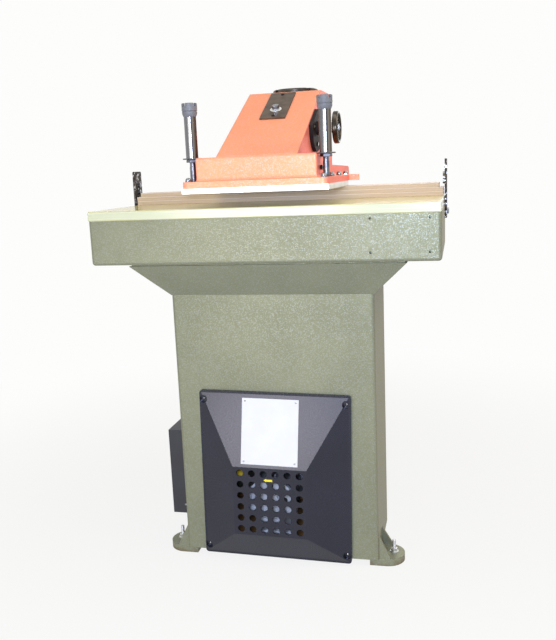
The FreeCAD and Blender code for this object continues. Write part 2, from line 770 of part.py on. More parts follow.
def side_bracket(side):
    """Upright flat bar with two bolts low down, two more above the strips and a free hole near its top."""
    x0 = TABLE_HALF if side > 0 else -TABLE_HALF - BRACKET_T
    bar = block(x0, x0 + BRACKET_T, BRACKET_Y0, BRACKET_Y0 + BRACKET_W, BRACKET_Z0, BRACKET_Z0 + BRACKET_H)
    top = BRACKET_Z0 + BRACKET_H
    ends = [e for e in bar.Edges if all(near(v.Point.z, top) for v in e.Vertexes)
            and near(e.Vertexes[0].Point.y, e.Vertexes[1].Point.y)]
    bar = bar.makeFillet(BRACKET_CORNER_R, ends)
    places = bracket_bolt_points(x0) + [bracket_place(x0, back, drop) for back, drop in UPPER_BOLTS]
    holes = [rod(BRACKET_BOLT_R + DRILL, p, X, BRACKET_T) for p in places]
    holes.append(rod(BRACKET_HOLE_R, bracket_place(x0, BRACKET_HOLE_IN, BRACKET_HOLE_DROP), X, BRACKET_T))
    return bored(bar, holes)


def bracket_bolts():
    """Bolts into the table's ends, and two through each bracket with their heads inside."""
    low = BRACKET_BOLT_LEN - 1
    bolts = []
    for side in (-1, 1):
        for p in bracket_bolt_points(side * (TABLE_HALF + BRACKET_T)):
            bolts.append(hex_screw(p, X * -side, BRACKET_BOLT_R, low, BRACKET_BOLT_FLATS, BRACKET_BOLT_HEAD))
        for back, drop in UPPER_BOLTS:
            p = bracket_place(side * TABLE_HALF, back, drop)
            bolts.append(hex_screw(p, X * side, BRACKET_BOLT_R, BRACKET_T,
                                   BRACKET_BOLT_FLATS, BRACKET_BOLT_HEAD))
    return Part.makeCompound(bolts)


def cover_frame(width, height, u, w, y):
    """Corners of a rectangle in the cover's own plane, u and w being its middle."""
    corners = [(-1, -1), (1, -1), (1, 1), (-1, 1)]
    return [cover_point(u + i * width / 2, w + k * height / 2, y) for i, k in corners]


def cover_dome(shrink, y_rim, y_face):
    """The cover's pyramid from the rim to the vented face, drawn in by shrink."""
    rim = cover_frame(COVER_W - 2 * (COVER_RIM + shrink), COVER_H - 2 * (COVER_RIM + shrink), 0, 0, y_rim)
    face = cover_frame(VENT_W - 2 * shrink, VENT_H - 2 * shrink, VENT_MID_X, VENT_MID_Z, y_face)
    return frustum(rim, face)


def cover_slab(shrink, y0, y1):
    plate = slab(cover_frame(COVER_W - 2 * shrink, COVER_H - 2 * shrink, 0, 0, y0), V(0, y1 - y0, 0))
    corners = [e for e in plate.Edges if near(e.Length, y1 - y0)]
    return plate.makeFillet(COVER_CORNER_R - shrink, corners)


def front_cover():
    """Pressed cover: a rim, four slopes, a vented face and a well at each corner."""
    rim_y = FRONT_Y - COVER_RIM_T
    face_y = rim_y - COVER_RISE
    sheet = COVER_SHEET
    outside = cover_slab(0, rim_y, FRONT_Y).fuse(cover_dome(0, rim_y, face_y)).removeSplitter()
    inside = cover_slab(sheet, rim_y + sheet, FRONT_Y)
    inside = inside.fuse(cover_dome(sheet, rim_y + sheet, face_y + sheet)).removeSplitter()
    wells = [rod(WELL_R + WELL_WALL, p, Y, COVER_RISE + COVER_RIM_T) for p in cover_screw_points(face_y)]
    inside = inside.cut(Part.makeCompound(wells))
    shell = outside.cut(inside)
    seat_y = FRONT_Y - sheet
    holes = [rod(WELL_R, p, Y, seat_y - face_y) for p in cover_screw_points(face_y)]
    holes += [rod(COVER_FIX_R + DRILL, p, Y, sheet) for p in cover_screw_points(seat_y)]
    for row in range(VENT_ROWS):
        for column in range(VENT_COLUMNS):
            u = VENT_MID_X + (column - (VENT_COLUMNS - 1) / 2) * VENT_PITCH_X
            w = VENT_MID_Z + (row - (VENT_ROWS - 1) / 2) * VENT_PITCH_Z
            holes.append(rod(VENT_HOLE_R, cover_point(u, w, face_y - 1), Y, sheet + 2))
    lower, upper, normal = upper_slope()
    for p in name_rivet_points(lower, upper, normal):
        holes.append(rod(RIVET_R, p, normal * -1, sheet + 1))
    return bored(shell, holes)


def upper_slope():
    """Ends of the middle line of the cover's upper slope, and the slope's outward normal."""
    rim_y = FRONT_Y - COVER_RIM_T
    face_y = rim_y - COVER_RISE
    lower = cover_point(VENT_MID_X, VENT_MID_Z + VENT_H / 2, face_y)
    upper = cover_point(0, COVER_H / 2 - COVER_RIM, rim_y)
    across = cover_point(1, 0, 0) - cover_point(0, 0, 0)
    vertical_up = upper - cover_point(0, VENT_MID_Z + VENT_H / 2, face_y)
    normal = vertical_up.cross(across).normalize()
    if normal.y > 0:
        normal = normal * -1
    return lower, upper, normal


def slope_axes(normal):
    """The slope's own directions, across it and up along it."""
    across = (cover_point(1, 0, 0) - cover_point(0, 0, 0)).normalize()
    along = across.cross(normal).normalize()
    if along.z < 0:
        along = along * -1
    return across, along


def name_plate_corner(lower, upper, normal, i, k, inset_by):
    """A corner of the bare plate, i and k being minus one or one."""
    across, along = slope_axes(normal)
    half = ((upper - lower).dot(along) - NAME_LOW_GAP - NAME_HIGH_GAP) / 2
    middle = lower + along * (NAME_LOW_GAP + half)
    return middle + across * (i * (NAME_W / 2 - inset_by)) + along * (k * (half - inset_by))


def name_rivet_points(lower, upper, normal):
    return [name_plate_corner(lower, upper, normal, i, k, RIVET_INSET) for i in (-1, 1) for k in (-1, 1)]


def blank_plate():
    """Plain sheet riveted to the cover's upper slope."""
    lower, upper, normal = upper_slope()
    signs = [(-1, -1), (1, -1), (1, 1), (-1, 1)]
    corners = [name_plate_corner(lower, upper, normal, i, k, 0) for i, k in signs]
    plate = slab(corners, normal * NAME_T)
    holes = [rod(RIVET_R, p, normal, NAME_T) for p in name_rivet_points(lower, upper, normal)]
    return bored(plate, holes)


def plate_rivets():
    lower, upper, normal = upper_slope()
    rivets = []
    for p in name_rivet_points(lower, upper, normal):
        rivets.append(hex_screw(p + normal * NAME_T, normal * -1, RIVET_R, COVER_SHEET + NAME_T,
                                RIVET_HEAD_FLATS, RIVET_HEAD_H))
    return Part.makeCompound(rivets)


def cover_screws():
    """Screws of the front cover and of the rear cover, all of one size."""
    front = cover_screw_points(FRONT_Y - COVER_SHEET)
    rear = rear_screw_points(REAR_REACH + REAR_COVER_T)
    seats = [(p, Y) for p in front] + [(p, FORWARD) for p in rear]
    return Part.makeCompound([hex_screw(p, into, COVER_FIX_R, COVER_FIX_LEN, COVER_FIX_FLATS, COVER_FIX_HEAD)
                              for p, into in seats])


def rear_cover():
    half = REAR_OPENING_HALF + REAR_COVER_LAP
    plate = block(-half, half, REAR_REACH, REAR_REACH + REAR_COVER_T,
                  REAR_OPENING_LOW - REAR_COVER_LAP, REAR_OPENING_HIGH + REAR_COVER_LAP)
    holes = [rod(COVER_FIX_R + DRILL, p, Y, REAR_COVER_T) for p in rear_screw_points(REAR_REACH)]
    return bored(plate, holes)


def ebox_span():
    y0 = FRONT_Y + EBOX_BACK
    return -COLUMN_HALF - EBOX_OUT, y0, y0 + EBOX_DEPTH, EBOX_LOW, EBOX_LOW + EBOX_H


def ebox_lid_screw_points():
    x, y0, y1, z0, z1 = ebox_span()
    edge = EBOX_SCREW_INSET
    return [V(x, y, z) for y in (y0 + edge, y1 - edge) for z in (z0 + edge, z1 - edge)]


def electrical_box():
    """Folded sheet box on the column's wall, with a post for each screw of its lid."""
    x, y0, y1, z0, z1 = ebox_span()
    rim = x + EBOX_LID_T
    w = EBOX_WALL
    box = block(rim, -COLUMN_HALF, y0, y1, z0, z1)
    box = box.cut(block(rim, -COLUMN_HALF - w, y0 + w, y1 - w, z0 + w, z1 - w))
    half = EBOX_POST_HALF
    posts = [block(rim, -COLUMN_HALF - w, p.y - half, p.y + half, p.z - half, p.z + half)
             for p in ebox_lid_screw_points()]
    box = fused([box] + posts)
    holes = [rod(EBOX_SCREW_R + DRILL, V(rim, p.y, p.z), X, EBOX_SCREW_LEN) for p in ebox_lid_screw_points()]
    holes.append(rod(EBOX_SCREW_R + DRILL, ebox_front_screw(), Y, w))
    holes.append(rod(GLAND_BORE_R + GLAND_WALL, gland_point(), Z, w))
    return bored(box, holes)


def gland_point():
    """Where the cable gland sits under the box's floor."""
    x, y0, y1, z0, z1 = ebox_span()
    return V(-COLUMN_HALF - EBOX_OUT / 2, y1 - GLAND_BACK, z0)


def ebox_front_screw():
    x, y0, y1, z0, z1 = ebox_span()
    return V(-COLUMN_HALF - EBOX_FRONT_SCREW_IN, y0, z0 + EBOX_FRONT_SCREW_UP)


def electrical_box_lid():
    x, y0, y1, z0, z1 = ebox_span()
    lid = block(x, x + EBOX_LID_T, y0, y1, z0, z1)
    outer = [e for e in lid.Edges if all(near(v.Point.x, x) for v in e.Vertexes)]
    lid = lid.makeFillet(1.5, outer)
    return bored(lid, [rod(EBOX_SCREW_R + DRILL, p, X, EBOX_LID_T) for p in ebox_lid_screw_points()])


def electrical_box_screws():
    places = [(p, X) for p in ebox_lid_screw_points()] + [(ebox_front_screw(), Y)]
    return Part.makeCompound([hex_screw(p, into, EBOX_SCREW_R, EBOX_SCREW_LEN,
                                        EBOX_SCREW_FLATS, EBOX_SCREW_HEAD) for p, into in places])


def contactor():
    """Motor contactor with its terminal shoulders, on the box's back wall."""
    x, y0, y1, z0, z1 = ebox_span()
    back = -COLUMN_HALF - EBOX_WALL
    mid_y = (y0 + y1) / 2
    mid_z = (z0 + z1) / 2 + CONTACTOR_UP
    y_low = mid_y - CONTACTOR_W / 2
    base = block(back - CONTACTOR_D * 0.6, back, y_low, y_low + CONTACTOR_W,
                 mid_z - CONTACTOR_H / 2, mid_z + CONTACTOR_H / 2)
    nose = block(back - CONTACTOR_D, back - CONTACTOR_D * 0.5, y_low, y_low + CONTACTOR_W,
                 mid_z - CONTACTOR_H / 4, mid_z + CONTACTOR_H / 4)
    strip_z = z0 + TERMINAL_LOW
    strip = block(back - TERMINAL_D, back, mid_y - TERMINAL_HALF, mid_y + TERMINAL_HALF,
                  strip_z, strip_z + TERMINAL_H)
    return Part.makeCompound([base.fuse(nose), strip])


def supply_gland():
    """Cable gland in the box's floor, with its bore open for a mains cable."""
    p = gland_point()
    nut = hex_prism(GLAND_NUT_FLATS, p, -Z, GLAND_NUT_H)
    nose = rod(GLAND_BORE_R + 2 * GLAND_WALL, p - Z * GLAND_NUT_H, -Z, GLAND_NOSE_H)
    neck = rod(GLAND_BORE_R + GLAND_WALL - DRILL, p, Z, EBOX_WALL)
    lock = hex_prism(GLAND_NUT_FLATS - GLAND_WALL, p + Z * EBOX_WALL, Z, GLAND_LOCK_H)
    low = p - Z * (GLAND_NUT_H + GLAND_NOSE_H)
    return fused([nut, nose, neck, lock]).cut(rod(GLAND_BORE_R, low, Z, p.z - low.z + EBOX_WALL + GLAND_LOCK_H))


def pillar_guide():
    """Guide tube and press cylinder in one casting, flanged on the column's top."""
    tube = rod(GUIDE_R, V(0, 0, FLOOR_Z), Z, GUIDE_TOP - FLOOR_Z)
    flange = rod(GUIDE_FLANGE_R, V(0, 0, BODY_TOP), Z, GUIDE_FLANGE_T)
    ribs = []
    for i in range(GUIDE_RIBS):
        z = BODY_TOP + GUIDE_FLANGE_T
        side = -GUIDE_RIB_T / 2
        points = [V(GUIDE_R - 2, side, z), V(GUIDE_FLANGE_R - 6, side, z),
                  V(GUIDE_R + 4, side, z + GUIDE_RIB_H), V(GUIDE_R - 2, side, z + GUIDE_RIB_H)]
        rib = slab(points, V(0, GUIDE_RIB_T, 0))
        rib.rotate(V(0, 0, 0), Z, 360 * i / GUIDE_RIBS)
        ribs.append(rib)
    guide = fused([tube, flange] + ribs)
    holes = [
        rod(CYLINDER_R, V(0, 0, CYLINDER_Z0), Z, CYLINDER_H),
        rod(GUIDE_BORE_R, V(0, 0, CYLINDER_Z1), Z, GUIDE_TOP - CYLINDER_Z1),
        rod(PIPE_R - 2, V(0, -GUIDE_R, CYLINDER_Z0 + 12), Y, GUIDE_R - CYLINDER_R + 2),
    ]
    holes += [rod(GUIDE_SCREW_R + DRILL, p, Z, GUIDE_FLANGE_T) for p in guide_screw_points(BODY_TOP)]
    holes += [rod(GLAND_SCREW_R + DRILL, p, -Z, GLAND_SCREW_GRIP) for p in gland_screw_points(GUIDE_TOP)]
    return bored(guide, holes)


def gland_screw_points(z):
    return ring_points(GLAND_CIRCLE_R, GLAND_SCREWS, z)


def guide_bushes():
    top = GUIDE_TOP - GUIDE_BUSH_L
    return Part.makeCompound([ring(GUIDE_BORE_R, PILLAR_R + RUNNING, V(0, 0, z), Z, GUIDE_BUSH_L)
                              for z in (CYLINDER_Z1 + 20, top)])


def guide_gland():
    """Gland ring that closes the guide and wipes the pillar."""
    plate = rod(GUIDE_R, V(0, 0, GUIDE_TOP), Z, GLAND_T - GLAND_RIM)
    rim = Part.makeCone(PILLAR_R + 14, PILLAR_R + 8, GLAND_RIM, V(0, 0, GUIDE_TOP + GLAND_T - GLAND_RIM), Z)
    gland = plate.fuse(rim)
    holes = [rod(PILLAR_R + SEAT, V(0, 0, GUIDE_TOP), Z, GLAND_T)]
    holes += [rod(GLAND_SCREW_R + DRILL, p, Z, GLAND_T) for p in gland_screw_points(GUIDE_TOP)]
    return bored(gland, holes)


def guide_screws():
    """Screws of the guide's flange and of the gland."""
    screws = [hex_screw(p, -Z, GUIDE_SCREW_R, GUIDE_FLANGE_T + GUIDE_SCREW_GRIP, GUIDE_SCREW_FLATS,
                        GUIDE_SCREW_HEAD) for p in guide_screw_points(BODY_TOP + GUIDE_FLANGE_T)]
    gland_face = GUIDE_TOP + GLAND_T - GLAND_RIM
    screws += [hex_screw(p, -Z, GLAND_SCREW_R, GLAND_T - GLAND_RIM + GLAND_SCREW_GRIP, GLAND_SCREW_FLATS,
                         GLAND_SCREW_HEAD) for p in gland_screw_points(gland_face)]
    return Part.makeCompound(screws)


def pillar():
    z0 = CYLINDER_Z0 + PISTON_UP + PISTON_H
    shank = rod(PILLAR_R, V(0, 0, z0), Z, SHOULDER_Z - z0)
    tail = rod(PILLAR_TAIL_R, V(0, 0, z0 - PISTON_H), Z, PISTON_H)
    nut_z0 = ARM_TOP + BUSH_FLANGE_T + SEAT
    journal = rod(JOURNAL_R, V(0, 0, SHOULDER_Z), Z, nut_z0 - SHOULDER_Z)
    thread = rod(THREAD_R, V(0, 0, nut_z0), Z, RING_NUT_H - RING_NUT_SHY)
    return fused([shank, tail, journal, thread])


def piston():
    z0 = CYLINDER_Z0 + PISTON_UP
    body = rod(CYLINDER_R - PISTON_GAP, V(0, 0, z0), Z, PISTON_H)
    groove = ring(CYLINDER_R, CYLINDER_R - SEAL_D, V(0, 0, z0 + (PISTON_H - SEAL_W) / 2), Z, SEAL_W)
    return bored(body, [groove, rod(PILLAR_TAIL_R, V(0, 0, z0), Z, PISTON_H)])


def pillar_nut():
    """Ring nut on top of the pillar, with spanner slots round its rim."""
    z0 = ARM_TOP + BUSH_FLANGE_T + SEAT
    low = rod(RING_NUT_R, V(0, 0, z0), Z, RING_NUT_H - RING_NUT_BEVEL)
    bevel = Part.makeCone(RING_NUT_R, RING_NUT_R - RING_NUT_BEVEL, RING_NUT_BEVEL,
                          V(0, 0, z0 + RING_NUT_H - RING_NUT_BEVEL), Z)
    nut = low.fuse(bevel).removeSplitter()
    holes = [rod(THREAD_R, V(0, 0, z0), Z, RING_NUT_H)]
    for i in range(RING_NUT_SLOTS):
        slot = block(RING_NUT_R - RING_NUT_SLOT_D, RING_NUT_R + 1, -RING_NUT_SLOT_W / 2, RING_NUT_SLOT_W / 2,
                     z0, z0 + RING_NUT_H)
        slot.rotate(V(0, 0, 0), Z, 45 + 360 * i / RING_NUT_SLOTS)
        holes.append(slot)
    return bored(nut, holes)


def arm_flange():
    """Flat base of the arm: a long front part, wider shoulders and a round end at the hub."""
    front = block(-FLANGE_HALF, FLANGE_HALF, -FLANGE_FRONT, -WIDE_FRONT, FLANGE_Z, FLANGE_TOP)
    corners = [(-FLANGE_HALF, -FLANGE_FRONT), (FLANGE_HALF, -FLANGE_FRONT)]
    front = front.makeFillet(FLANGE_CORNER_R, upright_edges(front, corners))
    lift = FLANGE_Z
    reach = math.hypot(WIDE_HALF, WIDE_FRONT)
    swing = math.acos(WIDE_HUB_R / reach) - math.atan2(WIDE_FRONT, WIDE_HALF)
    touch = V(WIDE_HUB_R * math.cos(swing), WIDE_HUB_R * math.sin(swing), lift)
    plan = [V(-WIDE_HALF, -WIDE_FRONT, lift), V(WIDE_HALF, -WIDE_FRONT, lift),
            touch, V(-touch.x, touch.y, lift)]
    rear = slab(plan, V(0, 0, FLANGE_T))
    hub_pad = rod(WIDE_HUB_R, V(0, 0, FLANGE_Z), Z, FLANGE_T)
    return fused([front, rear, hub_pad])


def arm_box_rib():
    """Side rib of the low box: highest at the front wall, level along the arm, rounded at its end."""
    x0 = BOX_HALF - RIB_T
    end_y = RIB_END_Y
    start_y = -BOX_FRONT + BOX_WALL / 2
    rib_top = FLANGE_TOP + BOX_H - 2
    profile = [V(x0, start_y, FLANGE_TOP), V(x0, start_y, rib_top), V(x0, -BOX_FRONT + BOX_WALL, rib_top),
               V(x0, -RIB_BREAK_Y, FLANGE_TOP + RIB_BREAK_H), V(x0, end_y, FLANGE_TOP + RIB_END_H),
               V(x0, end_y, FLANGE_TOP)]
    rib = slab(profile, V(RIB_T, 0, 0))
    crown = [e for e in rib.Edges if all(near(v.Point.y, end_y) and near(v.Point.z, FLANGE_TOP + RIB_END_H)
                                         for v in e.Vertexes)]
    return rib.makeFillet(RIB_END_R, crown)


def arm_front_wall():
    wall = block(-BOX_HALF, BOX_HALF, -BOX_FRONT, -BOX_FRONT + BOX_WALL, FLANGE_TOP - 1, FLANGE_TOP + BOX_H)
    top = FLANGE_TOP + BOX_H
    corners = [e for e in wall.Edges
               if all(near(v.Point.y, -BOX_FRONT) for v in e.Vertexes)
               and (all(near(v.Point.z, top) for v in e.Vertexes)
                    or near(e.Vertexes[0].Point.x, e.Vertexes[1].Point.x))]
    ends = [e for e in wall.Edges if all(near(v.Point.z, top) for v in e.Vertexes)
            and near(e.Vertexes[0].Point.x, e.Vertexes[1].Point.x)]
    return wall.makeFillet(BOX_CORNER_R - 4, corners + ends)


def arm_slanted_body():
    """Hollow-looking wedge that rises to the hub, square in section."""
    x0 = -BODY_HALF
    profile = [V(x0, -SLOPE_FRONT, FLANGE_TOP - 1), V(x0, -SLOPE_FRONT, SLOPE_FOOT_Z),
               V(x0, SLOPE_TOP_Y, ARM_TOP), V(x0, 0, ARM_TOP), V(x0, 0, FLANGE_TOP - 1)]
    wedge = slab(profile, V(2 * BODY_HALF, 0, 0))
    return wedge.makeFillet(BODY_EDGE_R, edges_where(
        wedge, lambda p: near(p.z, SLOPE_FOOT_Z) or near(p.z, ARM_TOP) and p.y < -1)
        + [e for e in wedge.Edges if slanted_edge(e)])


def slanted_edge(edge):
    """True for the two long edges of the slope."""
    zs = sorted(v.Point.z for v in edge.Vertexes)
    return len(zs) == 2 and near(zs[0], SLOPE_FOOT_Z) and near(zs[1], ARM_TOP)


def arm_pocket():
    """Room for the travelling nut, open upwards under the black cover plate."""
    room = block(-POCKET_HALF, POCKET_HALF, -POCKET_FRONT, -POCKET_BACK, POCKET_FLOOR, POCKET_ROOF)
    mouth = block(-POCKET_MOUTH_HALF, POCKET_MOUTH_HALF, -POCKET_MOUTH_FRONT, -POCKET_MOUTH_BACK,
                  POCKET_ROOF - 20, ARM_TOP)
    return room.fuse(mouth)


def plate_bolt_points(z):
    ys = [-PLATE_BOLT_FRONT + i * PLATE_BOLT_PITCH for i in range(PLATE_BOLT_COUNT)]
    return [V(side * PLATE_BOLT_X, y, z) for side in (-1, 1) for y in ys]


def slope_point(s, lift, x=0.0):
    """A point on the slope, s along it from its foot and lift above it."""
    return SLOPE_START + SLOPE_DIR * s + SLOPE_NORMAL * lift + V(x, 0, 0)


def cover_screw_places():
    return [SLOPE_COVER_START + COVER_SCREW_INSET, SLOPE_COVER_START + SLOPE_COVER_L - COVER_SCREW_INSET]


def round_bolt_points(x):
    """Three bolts of the round cover: in front, below and behind."""
    places = [(-1, 0), (0, -1), (1, 0)]
    return [V(x, WHEEL_Y + i * ROUND_BOLT_CIRCLE_R, WHEEL_Z + k * ROUND_BOLT_CIRCLE_R) for i, k in places]


def side_screw_point():
    return V(BOX_HALF, SIDE_SCREW_Y, FLANGE_TOP + SIDE_SCREW_UP)


def swing_arm():
    rib = arm_box_rib()
    hub = rod(HUB_R, V(0, 0, FLANGE_TOP - 1), Z, ARM_TOP - FLANGE_TOP + 1)
    arm = fused([arm_flange(), arm_front_wall(), rib, mirrored(rib), arm_slanted_body(), hub])
    foot = [e for e in arm.Edges if len(e.Vertexes) == 2 and e.Length > BOX_HALF
            and all(near(v.Point.z, FLANGE_TOP) and near(v.Point.y, -BOX_FRONT) for v in e.Vertexes)]
    arm = arm.makeFillet(FOOT_R, foot)
    tail_x = -POCKET_HALF - SPINDLE_TAIL
    holes = [
        rod(HUB_BORE_R, V(0, 0, FLANGE_Z), Z, ARM_TOP - FLANGE_Z),
        arm_pocket(),
        rod(SPINDLE_R + RUNNING, WHEEL_AXIS + X * POCKET_HALF, X, BODY_HALF - POCKET_HALF),
        rod(SPINDLE_END_R + RUNNING, WHEEL_AXIS + X * tail_x, X, SPINDLE_TAIL),
        rod(SIDE_SCREW_R + DRILL, side_screw_point(), WEST, RIB_T),
    ]
    holes += [rod(PLATE_BOLT_R + DRILL, p, Z, FLANGE_T) for p in plate_bolt_points(FLANGE_Z)]
    holes += [rod(STEM_R + DRILL, V(side * HANDLE_X, HANDLE_Y, FLANGE_Z), Z, FLANGE_T) for side in (-1, 1)]
    holes += [rod(COVER_SCREW_R + DRILL, slope_point(s, 0), SLOPE_NORMAL * -1, ARM_SCREW_GRIP)
              for s in cover_screw_places()]
    holes += [rod(ROUND_BOLT_R + DRILL, p, WEST, ARM_SCREW_GRIP) for p in round_bolt_points(BODY_HALF)]
    return bored(arm, holes)


def striking_plate():
    z0 = FLANGE_Z - PLATE_T
    plate = block(-PLATE_HALF, PLATE_HALF, -PLATE_FRONT, -PLATE_FRONT + PLATE_DEPTH, z0, FLANGE_Z)
    corners = [(x, y) for x in (-PLATE_HALF, PLATE_HALF) for y in (-PLATE_FRONT, -PLATE_FRONT + PLATE_DEPTH)]
    plate = plate.makeFillet(PLATE_CORNER_R, upright_edges(plate, corners))
    inside = [p for p in plate_bolt_points(FLANGE_Z) if p.y + PLATE_BOLT_R < -PLATE_FRONT + PLATE_DEPTH]
    holes = [rod(PLATE_BOLT_R + DRILL, p, -Z, PLATE_T * 0.7) for p in inside]
    return bored(plate, holes)


def plate_bolts():
    """Bolts with bevelled caps along both edges of the flange."""
    bolts = []
    for p in plate_bolt_points(FLANGE_TOP):
        skirt = rod(PLATE_BOLT_DOME, p, Z, PLATE_BOLT_SKIRT)
        dome = Part.makeCone(PLATE_BOLT_DOME, PLATE_BOLT_TOP_R, PLATE_BOLT_CAP, p + Z * PLATE_BOLT_SKIRT, Z)
        reaches_plate = p.y + PLATE_BOLT_R < -PLATE_FRONT + PLATE_DEPTH
        depth = FLANGE_T + (PLATE_T * 0.6 if reaches_plate else -1.0)
        shank = hex_prism(PLATE_BOLT_R * math.sqrt(3.0), p, -Z, depth)
        bolts.append(fused([skirt, dome, shank]))
    return Part.makeCompound(bolts)


def arm_bushes():
    """Flanged bushes at both ends of the hub's bore."""
    bushes = []
    for z, inward in ((FLANGE_Z, 1), (ARM_TOP, -1)):
        collar = rod(BUSH_FLANGE_R, V(0, 0, z), Z * -inward, BUSH_FLANGE_T)
        sleeve = rod(HUB_BORE_R, V(0, 0, z), Z * inward, ARM_BUSH_L)
        both = collar.fuse(sleeve)
        bushes.append(both.cut(rod(JOURNAL_R + RUNNING, V(0, 0, z - ARM_BUSH_L - 5), Z, 2 * ARM_BUSH_L + 10)))
    return Part.makeCompound(bushes)


def slope_cover():
    """Black plate over the arm's pocket."""
    a = slope_point(SLOPE_COVER_START, 0, -SLOPE_COVER_HALF)
    b = slope_point(SLOPE_COVER_START, 0, SLOPE_COVER_HALF)
    c = slope_point(SLOPE_COVER_START + SLOPE_COVER_L, 0, SLOPE_COVER_HALF)
    d = slope_point(SLOPE_COVER_START + SLOPE_COVER_L, 0, -SLOPE_COVER_HALF)
    plate = slab([a, b, c, d], SLOPE_NORMAL * SLOPE_COVER_T)
    holes = [rod(COVER_SCREW_R + DRILL, slope_point(s, 0), SLOPE_NORMAL, SLOPE_COVER_T)
             for s in cover_screw_places()]
    holes.append(rod(COVER_BOLT_R + DRILL, slope_point(COVER_BOLT_AT, 0), SLOPE_NORMAL, SLOPE_COVER_T))
    return bored(plate, holes)


def slope_cover_bolt():
    """Hexagon bolt on its broad washer, low on the black plate."""
    seat = slope_point(COVER_BOLT_AT, SLOPE_COVER_T)
    washer = rod(COVER_WASHER_R, seat, SLOPE_NORMAL, COVER_WASHER_T)
    bolt = hex_screw(seat + SLOPE_NORMAL * COVER_WASHER_T, SLOPE_NORMAL * -1, COVER_BOLT_R,
                     COVER_WASHER_T + SLOPE_COVER_T + COVER_BOLT_GRIP, COVER_BOLT_FLATS, COVER_BOLT_HEAD)
    return fused([washer, bolt])


def wheel_cover():
    """Black round cover on the arm's right side, cut off along the slope."""
    start = WHEEL_AXIS + X * BODY_HALF
    disc = rod(ROUND_COVER_R, start, X, ROUND_COVER_T)
    boss = rod(SPINDLE_BOSS_R, start + X * ROUND_COVER_T, X, SPINDLE_BOSS_T)
    body = disc.fuse(boss)
    thickness = X * (ROUND_COVER_T + SPINDLE_BOSS_T)
    line = -BODY_EDGE_R - ROUND_COVER_MARGIN
    low = slope_point(0, line, BODY_HALF)
    high = slope_point(SLOPE_COVER_START + SLOPE_COVER_L + ROUND_COVER_R, line, BODY_HALF)
    rise = SLOPE_NORMAL * ROUND_COVER_R
    above = slab([low, high, high + rise, low + rise], thickness)
    holes = [above, rod(SPINDLE_R + RUNNING, start, X, ROUND_COVER_T + SPINDLE_BOSS_T)]
    holes += [rod(ROUND_BOLT_R + DRILL, p, X, ROUND_COVER_T) for p in round_bolt_points(BODY_HALF)]
    return bored(body, holes)


def arm_cover_screws():
    """Screws of the plate on the slope and of the round cover."""
    grip = ARM_SCREW_GRIP - 1
    screws = [hex_screw(slope_point(s, SLOPE_COVER_T), SLOPE_NORMAL * -1, COVER_SCREW_R, SLOPE_COVER_T + grip,
                        COVER_SCREW_FLATS, COVER_SCREW_HEAD) for s in cover_screw_places()]
    screws += [hex_screw(p, WEST, ROUND_BOLT_R, ROUND_COVER_T + grip, ROUND_BOLT_FLATS, ROUND_BOLT_HEAD)
               for p in round_bolt_points(BODY_HALF + ROUND_COVER_T)]
    return Part.makeCompound(screws)


def handwheel():
    """Dished wheel turned in one piece: rim, thin web and long hub."""
    x0 = WHEEL_X
    x1 = WHEEL_X + WHEEL_T
    hub_start = BODY_HALF + ROUND_COVER_T + SPINDLE_BOSS_T + SEAT + 2
    web = WHEEL_X + WHEEL_WEB_IN
    inner = WHEEL_R - WHEEL_RIM_W
    bevel = WHEEL_BEVEL
    profile = [(hub_start, SPINDLE_R), (hub_start, WHEEL_HUB_R), (web, WHEEL_HUB_R), (web, inner), (x0, inner),
               (x0, WHEEL_R - bevel), (x0 + bevel, WHEEL_R), (x1 - bevel, WHEEL_R), (x1, WHEEL_R - bevel),
               (x1, inner), (web + WHEEL_WEB_T, inner), (web + WHEEL_WEB_T, SPINDLE_END_R),
               (web, SPINDLE_END_R), (web, SPINDLE_R)]
    points = [V(x, WHEEL_Y, WHEEL_Z + r) for x, r in profile]
    return turned(points, WHEEL_AXIS, X)


def wheel_spindle():
    """Threaded spindle through the cover and the pocket, with a thinner tail and its nut in the wheel's dish."""
    web = WHEEL_X + WHEEL_WEB_IN
    nut_x = web + WHEEL_WEB_T
    x_tail = -POCKET_HALF - SPINDLE_TAIL + 1
    shoulder = -POCKET_HALF + 1
    thin = rod(SPINDLE_END_R, WHEEL_AXIS + X * x_tail, X, nut_x + WHEEL_NUT_H - x_tail)
    shaft = rod(SPINDLE_R, WHEEL_AXIS + X * shoulder, X, web - shoulder)
    spindle = thin.fuse(shaft).removeSplitter()
    nut = hex_nut(WHEEL_NUT_FLATS, WHEEL_NUT_H, SPINDLE_END_R, WHEEL_AXIS + X * nut_x, X)
    return Part.makeCompound([spindle, nut])


def stroke_nut():
    """Travelling nut: a block on the spindle that the pocket's floor keeps from turning."""
    z0 = POCKET_FLOOR + SEAT
    nut = block(-TRAVEL_NUT_L / 2, TRAVEL_NUT_L / 2, WHEEL_Y - TRAVEL_NUT_W / 2, WHEEL_Y + TRAVEL_NUT_W / 2,
                z0, z0 + TRAVEL_NUT_H)
    nut = nut.makeChamfer(TRAVEL_NUT_BEVEL, edges_where(nut, lambda p: near(p.z, z0 + TRAVEL_NUT_H)))
    return nut.cut(rod(SPINDLE_R + SEAT, WHEEL_AXIS - X * TRAVEL_NUT_L, X, 2 * TRAVEL_NUT_L))


def arm_side_screw():
    """Set screw through the rib, with its dark lock nut against the wall."""
    p = side_screw_point()
    shank = rod(SIDE_SCREW_R, p - X * RIB_T, X, RIB_T + SIDE_SCREW_OUT)
    nut = hex_nut(SIDE_NUT_FLATS, SIDE_NUT_H, SIDE_SCREW_R, p, X)
    return Part.makeCompound([shank, nut])


